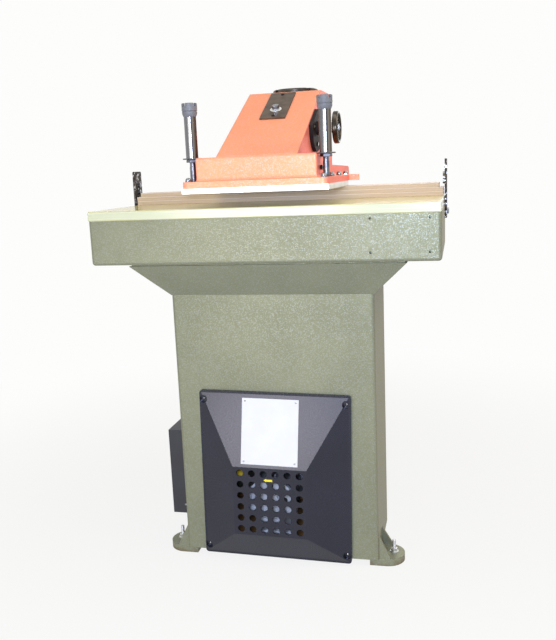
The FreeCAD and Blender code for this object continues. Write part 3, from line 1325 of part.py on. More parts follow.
def handle_z(part):
    """Height at which each part of a handle starts."""
    start = FLANGE_TOP
    heights = {"stem": start, "nut": start + STEM_H, "disc": start + STEM_H + HANDLE_NUT_H}
    heights["tube"] = heights["disc"] + DISC_T
    heights["crown"] = heights["tube"] + TUBE_H
    return heights[part]


def at_handles(make, z):
    return Part.makeCompound([make(V(side * HANDLE_X, HANDLE_Y, z)) for side in (-1, 1)])


def handle_stems():
    """Stems from the flange up into the tubes, each with the nut under its guard disc."""
    def stem(p):
        below = FLANGE_T - 1
        return rod(STEM_R, p - Z * below, Z, below + STEM_H + HANDLE_NUT_H + DISC_T + TUBE_PLUG_H)

    def nut(p):
        return hex_nut(HANDLE_NUT_FLATS, HANDLE_NUT_H, STEM_R, p + Z * HANDLE_NUT_H, -Z)
    stems = at_handles(stem, handle_z("stem"))
    nuts = at_handles(nut, handle_z("nut"))
    return Part.makeCompound(stems.Solids + nuts.Solids)


def handle_discs():
    """Round guards under the hand grips."""
    return at_handles(lambda p: ring(DISC_R, STEM_R, p, Z, DISC_T), handle_z("disc"))


def handle_tubes():
    def tube(p):
        sleeve = ring(TUBE_R, TUBE_BORE_R, p, Z, TUBE_H)
        plug = ring(TUBE_BORE_R + 0.5, STEM_R, p, Z, TUBE_PLUG_H)
        return sleeve.fuse(plug)
    return at_handles(tube, handle_z("tube"))


def handle_crowns():
    """Turned grip heads with a well for the button and four notches in the rim."""
    def crown(p):
        profile = [(0, 0), (TUBE_R, 0), (CROWN_R, CROWN_TAPER), (CROWN_R, CROWN_H - CROWN_BEVEL),
                   (CROWN_R - CROWN_BEVEL, CROWN_H), (CROWN_WELL_R, CROWN_H), (CROWN_WELL_R, CROWN_WELL_FLOOR),
                   (0, CROWN_WELL_FLOOR)]
        head = turned([p + V(r, 0, z) for r, z in profile], p, Z)
        cuts = [rod(BUTTON_STEM_R + SEAT, p, Z, CROWN_WELL_FLOOR)]
        for i in range(CROWN_NOTCHES // 2):
            notch = block(-CROWN_R - 1, CROWN_R + 1, -CROWN_NOTCH_W / 2, CROWN_NOTCH_W / 2,
                          CROWN_H - CROWN_NOTCH_D, CROWN_H + 1)
            notch.rotate(V(0, 0, 0), Z, 20 + 180 * i / (CROWN_NOTCHES // 2))
            notch.translate(p)
            cuts.append(notch)
        return bored(head, cuts)
    return at_handles(crown, handle_z("crown"))


def button_switches():
    """Closed push-button switches inside the tubes, under the buttons."""
    def switch(p):
        top = p - Z * 2
        return rod(TUBE_BORE_R, top - Z * SWITCH_H, Z, SWITCH_H)
    return at_handles(switch, handle_z("crown"))


def button(side):
    """Push button in the well of a grip head, with the stem that works the switch."""
    z = handle_z("crown")
    p = V(side * HANDLE_X, HANDLE_Y, z)
    low = CROWN_WELL_FLOOR + BUTTON_PRESS + SEAT
    top = CROWN_H - BUTTON_PROUD
    r = CROWN_WELL_R - SEAT
    crown_floor = CROWN_H - CROWN_NOTCH_D - 1
    profile = [(0, low), (r, low), (r, crown_floor), (r - BUTTON_STEP, crown_floor),
               (r - BUTTON_STEP, top), (0, top)]
    cap = turned([p + V(a, 0, b) for a, b in profile], p, Z)
    stem_low = -2 + BUTTON_PRESS + SEAT
    return cap.fuse(rod(BUTTON_STEM_R, p + Z * stem_low, Z, low - stem_low)).removeSplitter()


def motor_point(y, dx=0.0, dz=0.0):
    return V(MOTOR_X + dx, y, MOTOR_Z + dz)


def motor_housing():
    """Finned stator housing on two feet."""
    shell = ring(MOTOR_R, MOTOR_R - MOTOR_WALL, motor_point(MOTOR_BODY_Y), Y, MOTOR_L)
    fins = []
    for i in range(MOTOR_FINS):
        angle = 360.0 * (i + 0.5) / MOTOR_FINS
        if 225 < angle < 315:
            continue
        half = MOTOR_FIN_T / 2
        fin = block(MOTOR_R - 1, MOTOR_FIN_R, MOTOR_BODY_Y + 6, MOTOR_END_Y - 6, -half, half)
        fin.rotate(V(0, 0, 0), FORWARD, angle)
        fin.translate(V(MOTOR_X, 0, MOTOR_Z))
        fins.append(fin)
    core = motor_point(MOTOR_BODY_Y)
    legs = []
    for y in (MOTOR_BODY_Y + 20, MOTOR_END_Y - 20 - FOOT_T):
        leg = block(MOTOR_X - FOOT_W / 2, MOTOR_X + FOOT_W / 2, y, y + FOOT_T, FLOOR_Z + FOOT_T, MOTOR_Z)
        legs.append(leg.cut(rod(MOTOR_R - 1, core, Y, MOTOR_L)))
    sole = block(MOTOR_X - FOOT_W / 2, MOTOR_X + FOOT_W / 2, MOTOR_BODY_Y + 12, MOTOR_END_Y - 12,
                 FLOOR_Z + TRAY_SHEET, FLOOR_Z + FOOT_T)
    return fused([shell] + fins + legs + [sole])


def motor_end_shield():
    """Light-metal end shield with a bearing hub, four webs, four bosses and four air holes."""
    y = MOTOR_FACE_Y
    rim = ring(SHIELD_R, SHIELD_R - SHIELD_RIM, motor_point(y + 3), Y, SHIELD_T - 3)
    hub = rod(SHIELD_HUB_R, motor_point(y), Y, SHIELD_T)
    web_disc = rod(SHIELD_R - 2, motor_point(y + SHIELD_T - 6), Y, 6.0)
    parts = [rim, hub, web_disc]
    cuts = [rod(SHAFT_R + RUNNING, motor_point(y), Y, SHIELD_T)]
    for i in range(SHIELD_BOSSES):
        angle = math.radians(45 + 360.0 * i / SHIELD_BOSSES)
        dx = SHIELD_BOSS_CIRCLE * math.cos(angle)
        dz = SHIELD_BOSS_CIRCLE * math.sin(angle)
        parts.append(rod(SHIELD_BOSS_R, motor_point(y + 1, dx, dz), Y, SHIELD_T - 1))
        web = block(SHIELD_HUB_R - 3, SHIELD_R - 4, y + 3, y + SHIELD_T, -3.5, 3.5)
        web.rotate(V(0, 0, 0), FORWARD, 45 + 360.0 * i / SHIELD_BOSSES)
        web.translate(V(MOTOR_X, 0, MOTOR_Z))
        parts.append(web)
        middle = math.radians(360.0 * i / SHIELD_BOSSES)
        slot_r = (SHIELD_HUB_R + SHIELD_R - SHIELD_RIM) / 2
        cuts.append(rod(SHIELD_SLOT_R, motor_point(y, slot_r * math.cos(middle), slot_r * math.sin(middle)),
                        Y, SHIELD_T))
    return bored(fused(parts), cuts)


def motor_rotor():
    """Shaft with the laminated rotor pack."""
    shaft = rod(SHAFT_R, motor_point(MOTOR_FACE_Y + 2), Y, PUMP_Y - 4 - MOTOR_FACE_Y - 2)
    pack = rod(ROTOR_R, motor_point(MOTOR_END_Y - 14 - ROTOR_L), Y, ROTOR_L)
    return shaft.fuse(pack)


def cooling_fan():
    """Radial fan on the shaft behind the end shield."""
    y = MOTOR_BODY_Y + 4
    plate = ring(FAN_R, SHAFT_R, motor_point(y), Y, 3.0)
    hub = ring(SHAFT_R + 6, SHAFT_R, motor_point(y), Y, FAN_T)
    blades = []
    for i in range(FAN_BLADES):
        blade = block(SHAFT_R + 4, FAN_R, y + 2, y + FAN_T, -1.5, 1.5)
        blade.rotate(V(0, 0, 0), FORWARD, 360.0 * i / FAN_BLADES)
        blade.translate(V(MOTOR_X, 0, MOTOR_Z))
        blades.append(blade)
    return fused([plate, hub] + blades).cut(rod(SHAFT_R, motor_point(y - 1), Y, FAN_T + 2))


def shaft_coupling():
    y = PUMP_Y - 6 - COUPLING_L
    return ring(COUPLING_R, SHAFT_R, motor_point(y), Y, COUPLING_L)


def bell_housing():
    """Drive-end shield and bell that carries the pump."""
    disc = ring(SHIELD_R, SHAFT_R + RUNNING, motor_point(MOTOR_END_Y), Y, 8.0)
    bell = ring(BELL_R, BELL_R - BELL_WALL, motor_point(MOTOR_END_Y + 8), Y, BELL_L - 8)
    windows = [block(MOTOR_X - BELL_R - 1, MOTOR_X + BELL_R + 1, MOTOR_END_Y + 14, PUMP_Y - 6,
                     MOTOR_Z - 14, MOTOR_Z + 14)]
    return bored(disc.fuse(bell), windows)


def hydraulic_pump():
    """Gear pump with its two ports."""
    y1 = PUMP_Y + PUMP_L
    flange = rod(BELL_R, motor_point(PUMP_Y), Y, PUMP_FLANGE_T)
    half_w = PUMP_W / 2
    half_h = PUMP_H / 2
    y0 = PUMP_Y + PUMP_FLANGE_T - 1
    body = block(MOTOR_X - half_w, MOTOR_X + half_w, y0, y1, MOTOR_Z - half_h, MOTOR_Z + half_h)
    body = body.makeFillet(PUMP_CORNER_R, [e for e in body.Edges if near(e.Length, y1 - y0)])
    port = rod(PIPE_R + PORT_WALL, pump_port(-1), WEST, PORT_BOSS_H)
    inlet = rod(PIPE_R + PORT_WALL, pump_port(1), EAST, PORT_BOSS_H)
    return fused([flange, body, port, inlet])


def pump_port(side):
    return V(MOTOR_X + side * PUMP_W / 2, PUMP_Y + PUMP_L / 2 + 3, MOTOR_Z)


def piped(points):
    """A round pipe along straight runs with a square elbow fitting at each turn."""
    runs = [rod(PIPE_R, a, (b - a).normalize(), (b - a).Length) for a, b in zip(points, points[1:])]
    half = ELBOW_HALF
    elbows = [block(p.x - half, p.x + half, p.y - half, p.y + half, p.z - half, p.z + half)
              for p in points[1:-1]]
    return fused(runs + elbows)


def pressure_pipe():
    """From the pump to the valve block."""
    start = pump_port(-1) - X * PORT_BOSS_H
    valve = V(VALVE_X + VALVE_W / 2, FRONT_Y + VALVE_BACK + VALVE_D, VALVE_Z + VALVE_H / 2)
    low = V(valve.x, start.y, start.z)
    return piped([start, low, V(low.x, low.y, valve.z), valve])


def return_pipe():
    """Suction line from the tank to the pump's inlet."""
    start = pump_port(1) + X * PORT_BOSS_H
    turn_x = TANK_X + TANK_W / 2
    tank_y = FRONT_Y + TANK_BACK + TANK_DEPTH
    return piped([start, V(turn_x, start.y, start.z), V(turn_x, tank_y, start.z)])


def oil_tank():
    """Sheet-metal tank on four legs, with a filler neck."""
    y0 = FRONT_Y + TANK_BACK
    x1 = TANK_X + TANK_W
    y1 = y0 + TANK_DEPTH
    tank = block(TANK_X, x1, y0, y1, TANK_Z, TANK_Z + TANK_H)
    tank = tank.makeFillet(TANK_CORNER_R, upright_edges(tank, [(x, y) for x in (TANK_X, x1) for y in (y0, y1)]))
    parts = [tank]
    edge = TANK_LEG_INSET
    for x in (TANK_X + edge, x1 - edge - TANK_LEG):
        for y in (y0 + edge, y1 - edge - TANK_LEG):
            parts.append(block(x, x + TANK_LEG, y, y + TANK_LEG, FLOOR_Z, TANK_Z))
    parts.append(rod(FILLER_R, V(TANK_X + FILLER_IN_X, y0 + FILLER_IN_Y, TANK_Z + TANK_H), Z, FILLER_H))
    return fused(parts)


def valve_block():
    """Steel block with the control valve, on a bracket at the column's left wall."""
    y0 = FRONT_Y + VALVE_BACK
    y1 = y0 + VALVE_D
    body = block(VALVE_X, VALVE_X + VALVE_W, y0, y1, VALVE_Z, VALVE_Z + VALVE_H)
    wall = -COLUMN_HALF + COLUMN_WALL
    low = VALVE_Z - VALVE_FOOT_DROP
    foot = block(wall, wall + VALVE_FOOT_T, y0 + VALVE_FOOT_INSET, y1 - VALVE_FOOT_INSET, low, low + VALVE_FOOT_H)
    inset_by = VALVE_ARM_INSET
    arm = block(wall, VALVE_X + 1, y0 + inset_by, y1 - inset_by, VALVE_Z + inset_by, VALVE_Z + inset_by + VALVE_ARM_T)
    return fused([body, arm, foot])


def valve_port(up):
    return V(VALVE_X + VALVE_W, FRONT_Y + VALVE_BACK + VALVE_PORT_IN, VALVE_Z + up)


def valve_solenoid():
    return rod(COIL_R, valve_port(COIL_UP), X, COIL_L)


def relief_valve():
    """Red-capped adjusting valve on the block."""
    return rod(RELIEF_R, valve_port(VALVE_H - RELIEF_DOWN), X, RELIEF_L)


def drip_tray():
    """Shallow sheet tray under the motor, its rear left corner cut to the column's slanting wall."""
    x0 = -COLUMN_HALF + COLUMN_WALL + TRAY_GAP
    x1 = TANK_X - TRAY_GAP
    y0 = FRONT_Y + COLUMN_WALL + TRAY_GAP
    y1 = -GUIDE_R - TRAY_GAP
    lean = (COLUMN_HALF - REAR_HALF) / (REAR_REACH - SIDE_END_Y)
    cut_x = x0 + lean * (y1 - SIDE_END_Y) + TRAY_GAP
    z = FLOOR_Z
    plan = [V(x0, y0, z), V(x1, y0, z), V(x1, y1, z), V(cut_x, y1, z), V(x0, SIDE_END_Y - TRAY_GAP, z)]
    tray = slab(plan, V(0, 0, TRAY_H))
    floor = [p + Z * TRAY_SHEET for p in inset(plan, TRAY_SHEET)]
    return tray.cut(slab(floor, V(0, 0, TRAY_H)))


NODES = {
    "machine_body": machine_body,
    "worktable": worktable,
    "cutting_board": cutting_board,
    "rear_boards_lower": rear_boards_lower,
    "rear_board_upper": lambda: rear_strip(2, STRIP_SHORT),
    "side_bracket_left": lambda: side_bracket(-1),
    "side_bracket_right": lambda: side_bracket(1),
    "bracket_bolts": bracket_bolts,
    "anchor_studs": anchor_studs,
    "anchor_nuts": anchor_nuts,
    "front_cover": front_cover,
    "cover_screws": cover_screws,
    "blank_plate": blank_plate,
    "plate_rivets": plate_rivets,
    "rear_cover": rear_cover,
    "electrical_box": electrical_box,
    "electrical_box_lid": electrical_box_lid,
    "electrical_box_screws": electrical_box_screws,
    "contactor": contactor,
    "supply_gland": supply_gland,
    "pillar_guide": pillar_guide,
    "guide_bushes": guide_bushes,
    "guide_gland": guide_gland,
    "guide_screws": guide_screws,
    "motor_housing": motor_housing,
    "motor_end_shield": motor_end_shield,
    "bell_housing": bell_housing,
    "hydraulic_pump": hydraulic_pump,
    "oil_tank": oil_tank,
    "valve_block": valve_block,
    "valve_solenoid": valve_solenoid,
    "relief_valve": relief_valve,
    "pressure_pipe": pressure_pipe,
    "return_pipe": return_pipe,
    "drip_tray": drip_tray,
    "motor_rotor": motor_rotor,
    "cooling_fan": cooling_fan,
    "shaft_coupling": shaft_coupling,
    "pillar": pillar,
    "piston": piston,
    "pillar_nut": pillar_nut,
    "swing_arm": swing_arm,
    "striking_plate": striking_plate,
    "plate_bolts": plate_bolts,
    "arm_bushes": arm_bushes,
    "slope_cover": slope_cover,
    "slope_cover_bolt": slope_cover_bolt,
    "wheel_cover": wheel_cover,
    "arm_cover_screws": arm_cover_screws,
    "arm_side_screw": arm_side_screw,
    "handle_stems": handle_stems,
    "handle_discs": handle_discs,
    "handle_tubes": handle_tubes,
    "handle_crowns": handle_crowns,
    "button_switches": button_switches,
    "handwheel": handwheel,
    "wheel_spindle": wheel_spindle,
    "stroke_nut": stroke_nut,
    "button_left": lambda: button(-1),
    "button_right": lambda: button(1),
}

if __name__ == "__main__":
    os.makedirs("parts", exist_ok=True)
    for node, make in NODES.items():
        shape = make()
        shape.exportStep(os.path.join("parts", node + ".step"))
        print(node, len(shape.Solids), round(shape.Volume / 1000.0, 1), shape.isValid())
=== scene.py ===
import json
import math

import bmesh
import bpy
from mathutils import Matrix, Vector

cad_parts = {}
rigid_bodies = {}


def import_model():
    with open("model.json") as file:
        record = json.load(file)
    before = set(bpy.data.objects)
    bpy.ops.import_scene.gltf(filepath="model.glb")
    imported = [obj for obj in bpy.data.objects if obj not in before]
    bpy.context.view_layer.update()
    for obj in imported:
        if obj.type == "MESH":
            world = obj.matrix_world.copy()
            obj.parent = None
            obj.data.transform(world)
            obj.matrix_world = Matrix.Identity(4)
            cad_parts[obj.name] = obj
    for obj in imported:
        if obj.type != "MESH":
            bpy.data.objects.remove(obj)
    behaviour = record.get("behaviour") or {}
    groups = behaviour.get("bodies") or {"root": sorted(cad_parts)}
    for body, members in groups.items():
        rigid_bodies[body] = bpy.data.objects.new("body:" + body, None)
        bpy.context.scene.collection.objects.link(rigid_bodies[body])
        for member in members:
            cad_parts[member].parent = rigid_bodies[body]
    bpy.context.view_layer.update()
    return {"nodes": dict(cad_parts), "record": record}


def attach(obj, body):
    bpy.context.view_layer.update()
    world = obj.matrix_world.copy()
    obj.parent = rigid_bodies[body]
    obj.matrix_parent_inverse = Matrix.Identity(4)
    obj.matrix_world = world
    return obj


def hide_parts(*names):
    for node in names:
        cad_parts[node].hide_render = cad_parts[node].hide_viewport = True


for leftover in list(bpy.data.objects):
    bpy.data.objects.remove(leftover)

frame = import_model()
NODES = frame["nodes"]
BODY_OF = {node: body for body, nodes in frame["record"]["behaviour"]["bodies"].items() for node in nodes}
MM = 0.001
SIDES = (-1, 1)


# Colours and nodes

def linear(code):
    """An sRGB hex colour as linear red, green, blue and full alpha."""
    parts = [int(code[i:i + 2], 16) / 255 for i in (1, 3, 5)]
    return tuple(p / 12.92 if p <= 0.04045 else ((p + 0.055) / 1.055) ** 2.4 for p in parts) + (1.0,)


def add(tree, kind, inputs=None, stops=(), **settings):
    """Adds a node, applies its settings, and sets or links its inputs. A node given as a source lends its first
    live output, a list links every source in it, and a hex colour is made linear. Stops are a colour ramp's
    (hex colour, place) pairs."""
    made = tree.nodes.new(kind)
    for name, value in settings.items():
        setattr(made, name, value)
    if stops:
        ramp = made.color_ramp.elements
        while len(ramp) < len(stops):
            ramp.new(1.0)
        for stop, (colour, place) in zip(ramp, stops):
            stop.position = place
            stop.color = linear(colour)
    for key, value in (inputs or {}).items():
        for source in value if isinstance(value, list) else [value]:
            if isinstance(source, bpy.types.Node):
                source = next(socket for socket in source.outputs if socket.enabled)
            if isinstance(source, bpy.types.NodeSocket):
                tree.links.new(source, made.inputs[key])
            elif isinstance(source, str) and source.startswith("#"):
                made.inputs[key].default_value = linear(source)
            else:
                made.inputs[key].default_value = source
    return made


# The sockets of a Mix node that lays one colour over another by a share
SHARE, UNDER, OVER = 0, 6, 7


def new_finish(name):
    """A new material, its empty node tree, and the sockets that tell the place on the piece."""
    material = bpy.data.materials.new(name)
    material.use_nodes = True
    tree = material.node_tree
    tree.nodes.clear()
    return material, tree, add(tree, "ShaderNodeTexCoord").outputs


def relief_and_soft_edges(tree, height, strength, depth_mm, edge_mm):
    """A pattern's relief over the surface, with every edge rounded by a small radius."""
    round_edge = add(tree, "ShaderNodeBevel", {"Radius": edge_mm * MM}, samples=4)
    return add(tree, "ShaderNodeBump", {
        "Height": height, "Strength": strength, "Distance": depth_mm * MM, "Normal": round_edge})


# Finishes

def hammered_enamel(name, base, shade, fleck, edge, side, bead_mm, rough, specular, rust=None):
    """Hammered enamel sprayed on castings. It dries in small rounded beads, and specks of aluminium flake lie
    between them and glint where they face a lamp. The ground has slow cloudy tones, and its edges are soft
    where the paint drew back. Seen along the surface, the flake takes the edge colour. Walls that face left and
    right take the side colour, a painted shade for how light falls on them. With a rust colour, the casting's
    foot is scuffed brown close to the floor. The specks are drawn coarser than real ones, so that they show."""
    cloud_mm, scuff_mm, speck_mm, glint = 160, 16, 1.9 * bead_mm, 0.13
    material, tree, here = new_finish(name)
    place = here["Object"]
    cloud = add(tree, "ShaderNodeTexNoise", {"Vector": place, "Scale": 1 / (cloud_mm * MM), "Detail": 3.0})
    colour = add(tree, "ShaderNodeValToRGB", {"Fac": cloud}, [(shade, 0.36), (base, 0.64)])
    # Painted shade: faces that look left or right are shifted towards the side colour
    facing = add(tree, "ShaderNodeSeparateXYZ", {"Vector": here["Normal"]})
    sideways = add(tree, "ShaderNodeMath", {0: facing.outputs["X"]}, operation="ABSOLUTE")
    side_wall_painted_shade = add(tree, "ShaderNodeMapRange", {
        "Value": sideways, "From Min": 0.55, "From Max": 0.95, "To Max": 0.75})
    colour = add(tree, "ShaderNodeMix", {SHARE: side_wall_painted_shade, UNDER: colour, OVER: side}, data_type="RGBA")
    specks = add(tree, "ShaderNodeTexVoronoi", {"Vector": place, "Scale": 1 / (speck_mm * MM)})
    size = add(tree, "ShaderNodeSeparateColor", {"Color": specks.outputs["Color"]})
    spot = add(tree, "ShaderNodeMapRange", {"Value": specks, "From Min": 0.60, "From Max": 0.24})
    large = add(tree, "ShaderNodeMapRange", {"Value": size.outputs["Red"], "From Min": 0.10, "From Max": 0.9})
    speck = add(tree, "ShaderNodeMath", {0: spot, 1: large}, operation="MULTIPLY")
    flake = add(tree, "ShaderNodeMapRange", {"Value": speck, "To Min": 0.14, "To Max": 0.50})
    colour = add(tree, "ShaderNodeMix", {SHARE: flake, UNDER: colour, OVER: fleck}, data_type="RGBA")
    if rust:
        height = add(tree, "ShaderNodeSeparateXYZ", {"Vector": place}).outputs["Z"]
        low = add(tree, "ShaderNodeMapRange", {
            "Value": height, "From Min": 3 * MM, "From Max": 24 * MM, "To Min": 0.62, "To Max": 0.0})
        scuff = add(tree, "ShaderNodeTexNoise", {"Vector": place, "Scale": 1 / (scuff_mm * MM), "Detail": 5.0})
        both = add(tree, "ShaderNodeMath", {0: scuff, 1: low}, operation="ADD")
        bare = add(tree, "ShaderNodeMapRange", {
            "Value": both, "From Min": 0.86, "From Max": 1.08, "To Max": 0.45})
        colour = add(tree, "ShaderNodeMix", {SHARE: bare, UNDER: colour, OVER: rust}, data_type="RGBA")
    beads = add(tree, "ShaderNodeTexNoise", {
        "Vector": place, "Scale": 1 / (bead_mm * MM), "Detail": 2.5, "Roughness": 0.6})
    relief = relief_and_soft_edges(tree, beads, strength=0.5, depth_mm=0.2, edge_mm=1.6)
    gloss = add(tree, "ShaderNodeMapRange", {"Value": speck, "To Min": rough, "To Max": rough - glint})
    shader = add(tree, "ShaderNodeBsdfPrincipled", {
        "Base Color": colour, "Roughness": gloss, "Normal": relief, "Metallic": flake, "IOR": 1.5,
        "Specular IOR Level": specular, "Specular Tint": edge})
    add(tree, "ShaderNodeOutputMaterial", {"Surface": shader})
    return material


def moulded(name, base, shade, grain_mm, rough, relief_mm=0.05, cloud_mm=70, specular=0.5, sheen="#ffffff"):
    """Moulded plastic, enamel or powder coat: a fine even grain with a slow change of tone. The sheen colours
    its gloss. The grain is drawn coarser than a real one, so that it shows."""
    uneven = 0.06
    material, tree, here = new_finish(name)
    place = here["Object"]
    cloud = add(tree, "ShaderNodeTexNoise", {"Vector": place, "Scale": 1 / (cloud_mm * MM), "Detail": 4.0})
    colour = add(tree, "ShaderNodeValToRGB", {"Fac": cloud}, [(shade, 0.35), (base, 0.62)])
    grain = add(tree, "ShaderNodeTexNoise", {"Vector": place, "Scale": 1 / (grain_mm * MM), "Detail": 2.0})
    relief = relief_and_soft_edges(tree, grain, strength=0.5, depth_mm=relief_mm, edge_mm=0.8)
    gloss = add(tree, "ShaderNodeMapRange", {
        "Value": grain, "To Min": rough - uneven, "To Max": rough + uneven})
    shader = add(tree, "ShaderNodeBsdfPrincipled", {
        "Base Color": colour, "Roughness": gloss, "Normal": relief, "IOR": 1.5, "Specular IOR Level": specular,
        "Specular Tint": sheen})
    add(tree, "ShaderNodeOutputMaterial", {"Surface": shader})
    return material


def bare_metal(name, base, shade, stretch, grain_mm, rough, patch_mm=40):
    """Machined, plated or rolled metal: streaks along the tool's way that break up the gloss, and faint
    patches of another tone. Stretch is how much shorter the streaks are along X, Y and Z. They are drawn
    coarser than real tool marks, so that they show."""
    uneven = 0.12
    material, tree, here = new_finish(name)
    place = here["Object"]
    way = add(tree, "ShaderNodeMapping", {"Vector": place, "Scale": stretch})
    streak = add(tree, "ShaderNodeTexNoise", {"Vector": way, "Scale": 1 / (grain_mm * MM), "Detail": 3.0})
    patch = add(tree, "ShaderNodeTexNoise", {"Vector": place, "Scale": 1 / (patch_mm * MM), "Detail": 4.0})
    colour = add(tree, "ShaderNodeValToRGB", {"Fac": patch}, [(shade, 0.34), (base, 0.60)])
    gloss = add(tree, "ShaderNodeMapRange", {"Value": streak, "To Min": rough, "To Max": rough + uneven})
    relief = relief_and_soft_edges(tree, streak, strength=0.25, depth_mm=0.05, edge_mm=0.6)
    shader = add(tree, "ShaderNodeBsdfPrincipled", {
        "Base Color": colour, "Metallic": 1.0, "Roughness": gloss, "Normal": relief})
    add(tree, "ShaderNodeOutputMaterial", {"Surface": shader})
    return material


def drawn_tube_steel(name, radius_mm):
    """Drawn and polished steel tube. Its long dark and bright bands are painted reflection and shade: the colour
    runs round the tube by the way each face looks, with a brown band on the faces that look to the right. Long
    lines break up the gloss, drawn coarser than real ones so that they show."""
    line_mm, lines_run_long = 0.55 * radius_mm, (1, 1, 0.004)
    material, tree, here = new_finish(name)
    way = add(tree, "ShaderNodeMapping", {"Vector": here["Object"], "Scale": lines_run_long})
    line = add(tree, "ShaderNodeTexNoise", {
        "Vector": way, "Scale": 1 / (line_mm * MM), "Detail": 4.0, "Roughness": 0.6})
    # Painted reflection and shade: the colour follows which way each face looks
    facing = add(tree, "ShaderNodeSeparateXYZ", {"Vector": here["Normal"]})
    painted_bands_by_facing = add(tree, "ShaderNodeMapRange", {"Value": facing.outputs["X"], "From Min": -1.0})
    colour = add(tree, "ShaderNodeValToRGB", {"Fac": painted_bands_by_facing}, [
        ("#4a4a4c", 0.02), ("#6f6f72", 0.22), ("#848487", 0.42), ("#b4b4b6", 0.50), ("#b1b1b1", 0.62),
        ("#46423f", 0.69), ("#46423f", 0.74), ("#87827c", 0.80), ("#55463b", 0.97)])
    gloss = add(tree, "ShaderNodeMapRange", {"Value": line, "To Min": 0.32, "To Max": 0.22})
    shader = add(tree, "ShaderNodeBsdfPrincipled", {"Base Color": colour, "Metallic": 1.0, "Roughness": gloss})
    add(tree, "ShaderNodeOutputMaterial", {"Surface": shader})
    return material


def planed_cutting_board(name):
    """Planed polypropylene cutting board, milky with long faint plane marks and a half gloss all over. Its level
    faces are a deeper straw yellow, a painted reflection and shade, and its sawn sides have a dull olive line
    along their edges, a painted shade."""
    board_middle_mm, line_from_mm, line_to_mm, mark_mm = 988.5, 10.0, 11.2, 3.2
    marks_run_long = (0.012, 1, 1)
    material, tree, here = new_finish(name)
    place = here["Object"]
    way = add(tree, "ShaderNodeMapping", {"Vector": place, "Scale": marks_run_long})
    marks = add(tree, "ShaderNodeTexNoise", {"Vector": way, "Scale": 1 / (mark_mm * MM), "Detail": 3.0})
    front = add(tree, "ShaderNodeValToRGB", {"Fac": marks}, [("#cdcfa6", 0.36), ("#d6d8b6", 0.62)])
    # Painted reflection and shade: level faces take a deeper straw yellow
    level_faces_painted_reflection = add(tree, "ShaderNodeValToRGB", {"Fac": marks}, [("#d6cf8e", 0.36), ("#ddd79c", 0.62)])
    # Painted shade: a dull olive line near the top and bottom edges of the upright faces
    height = add(tree, "ShaderNodeSeparateXYZ", {"Vector": place}).outputs["Z"]
    off_middle = add(tree, "ShaderNodeMath", {0: height, 1: board_middle_mm * MM}, operation="SUBTRACT")
    far = add(tree, "ShaderNodeMath", {0: off_middle}, operation="ABSOLUTE")
    edge = add(tree, "ShaderNodeMapRange", {
        "Value": far, "From Min": line_from_mm * MM, "From Max": line_to_mm * MM, "To Max": 0.9})
    facing = add(tree, "ShaderNodeSeparateXYZ", {"Vector": add(tree, "ShaderNodeNewGeometry").outputs["True Normal"]})
    level = add(tree, "ShaderNodeMath", {0: facing.outputs["Z"]}, operation="ABSOLUTE")
    sawn = add(tree, "ShaderNodeMapRange", {
        "Value": level, "From Min": 0.2, "From Max": 0.8, "To Min": 1.0, "To Max": 0.0})
    colour = add(tree, "ShaderNodeMix", {SHARE: sawn, UNDER: level_faces_painted_reflection, OVER: front}, data_type="RGBA")
    edge_line_painted_shade = add(tree, "ShaderNodeMath", {0: edge, 1: sawn}, operation="MULTIPLY")
    colour = add(tree, "ShaderNodeMix", {SHARE: edge_line_painted_shade, UNDER: colour, OVER: "#8f8638"}, data_type="RGBA")
    relief = relief_and_soft_edges(tree, marks, strength=0.35, depth_mm=0.06, edge_mm=1.0)
    shader = add(tree, "ShaderNodeBsdfPrincipled", {
        "Base Color": colour, "Roughness": 0.16, "Normal": relief, "IOR": 1.49})
    add(tree, "ShaderNodeOutputMaterial", {"Surface": shader})
    return material


def sawn_fibre_board(name):
    """Sawn strips of pressed fibre board: warm beige with long faint saw lines, small dark fibres, and a
    thin pale line along each board's top edge, where the skin of the sheet shows."""
    boards_from_mm, board_step_mm, skin_from_mm, skin_to_mm = 1001.05, 11.7, 9.8, 10.8
    saw_mm, fibre_mm = 3.0, 2.4
    saw_lines_run_long = (0.02, 0.3, 1)
    material, tree, here = new_finish(name)
    place = here["Object"]
    way = add(tree, "ShaderNodeMapping", {"Vector": place, "Scale": saw_lines_run_long})
    saw = add(tree, "ShaderNodeTexNoise", {"Vector": way, "Scale": 1 / (saw_mm * MM), "Detail": 2.0})
    colour = add(tree, "ShaderNodeValToRGB", {"Fac": saw}, [("#cdb491", 0.34), ("#d4bc99", 0.62)])
    fibre = add(tree, "ShaderNodeTexNoise", {"Vector": place, "Scale": 1 / (fibre_mm * MM), "Detail": 4.0})
    speck = add(tree, "ShaderNodeMapRange", {
        "Value": fibre, "From Min": 0.60, "From Max": 0.72, "To Max": 0.35})
    colour = add(tree, "ShaderNodeMix", {SHARE: speck, UNDER: colour, OVER: "#9c7f5e"}, data_type="RGBA")
    height = add(tree, "ShaderNodeSeparateXYZ", {"Vector": place}).outputs["Z"]
    above = add(tree, "ShaderNodeMath", {0: height, 1: boards_from_mm * MM}, operation="SUBTRACT")
    within = add(tree, "ShaderNodeMath", {0: above, 1: board_step_mm * MM}, operation="FLOORED_MODULO")
    skin = add(tree, "ShaderNodeMapRange", {
        "Value": within, "From Min": skin_from_mm * MM, "From Max": skin_to_mm * MM, "To Max": 0.8})
    colour = add(tree, "ShaderNodeMix", {SHARE: skin, UNDER: colour, OVER: "#efe3d2"}, data_type="RGBA")
    relief = add(tree, "ShaderNodeBump", {"Height": fibre, "Strength": 0.4, "Distance": 0.12 * MM})
    shader = add(tree, "ShaderNodeBsdfPrincipled", {
        "Base Color": colour, "Roughness": 0.62, "Normal": relief, "IOR": 1.5})
    add(tree, "ShaderNodeOutputMaterial", {"Surface": shader})
    return material


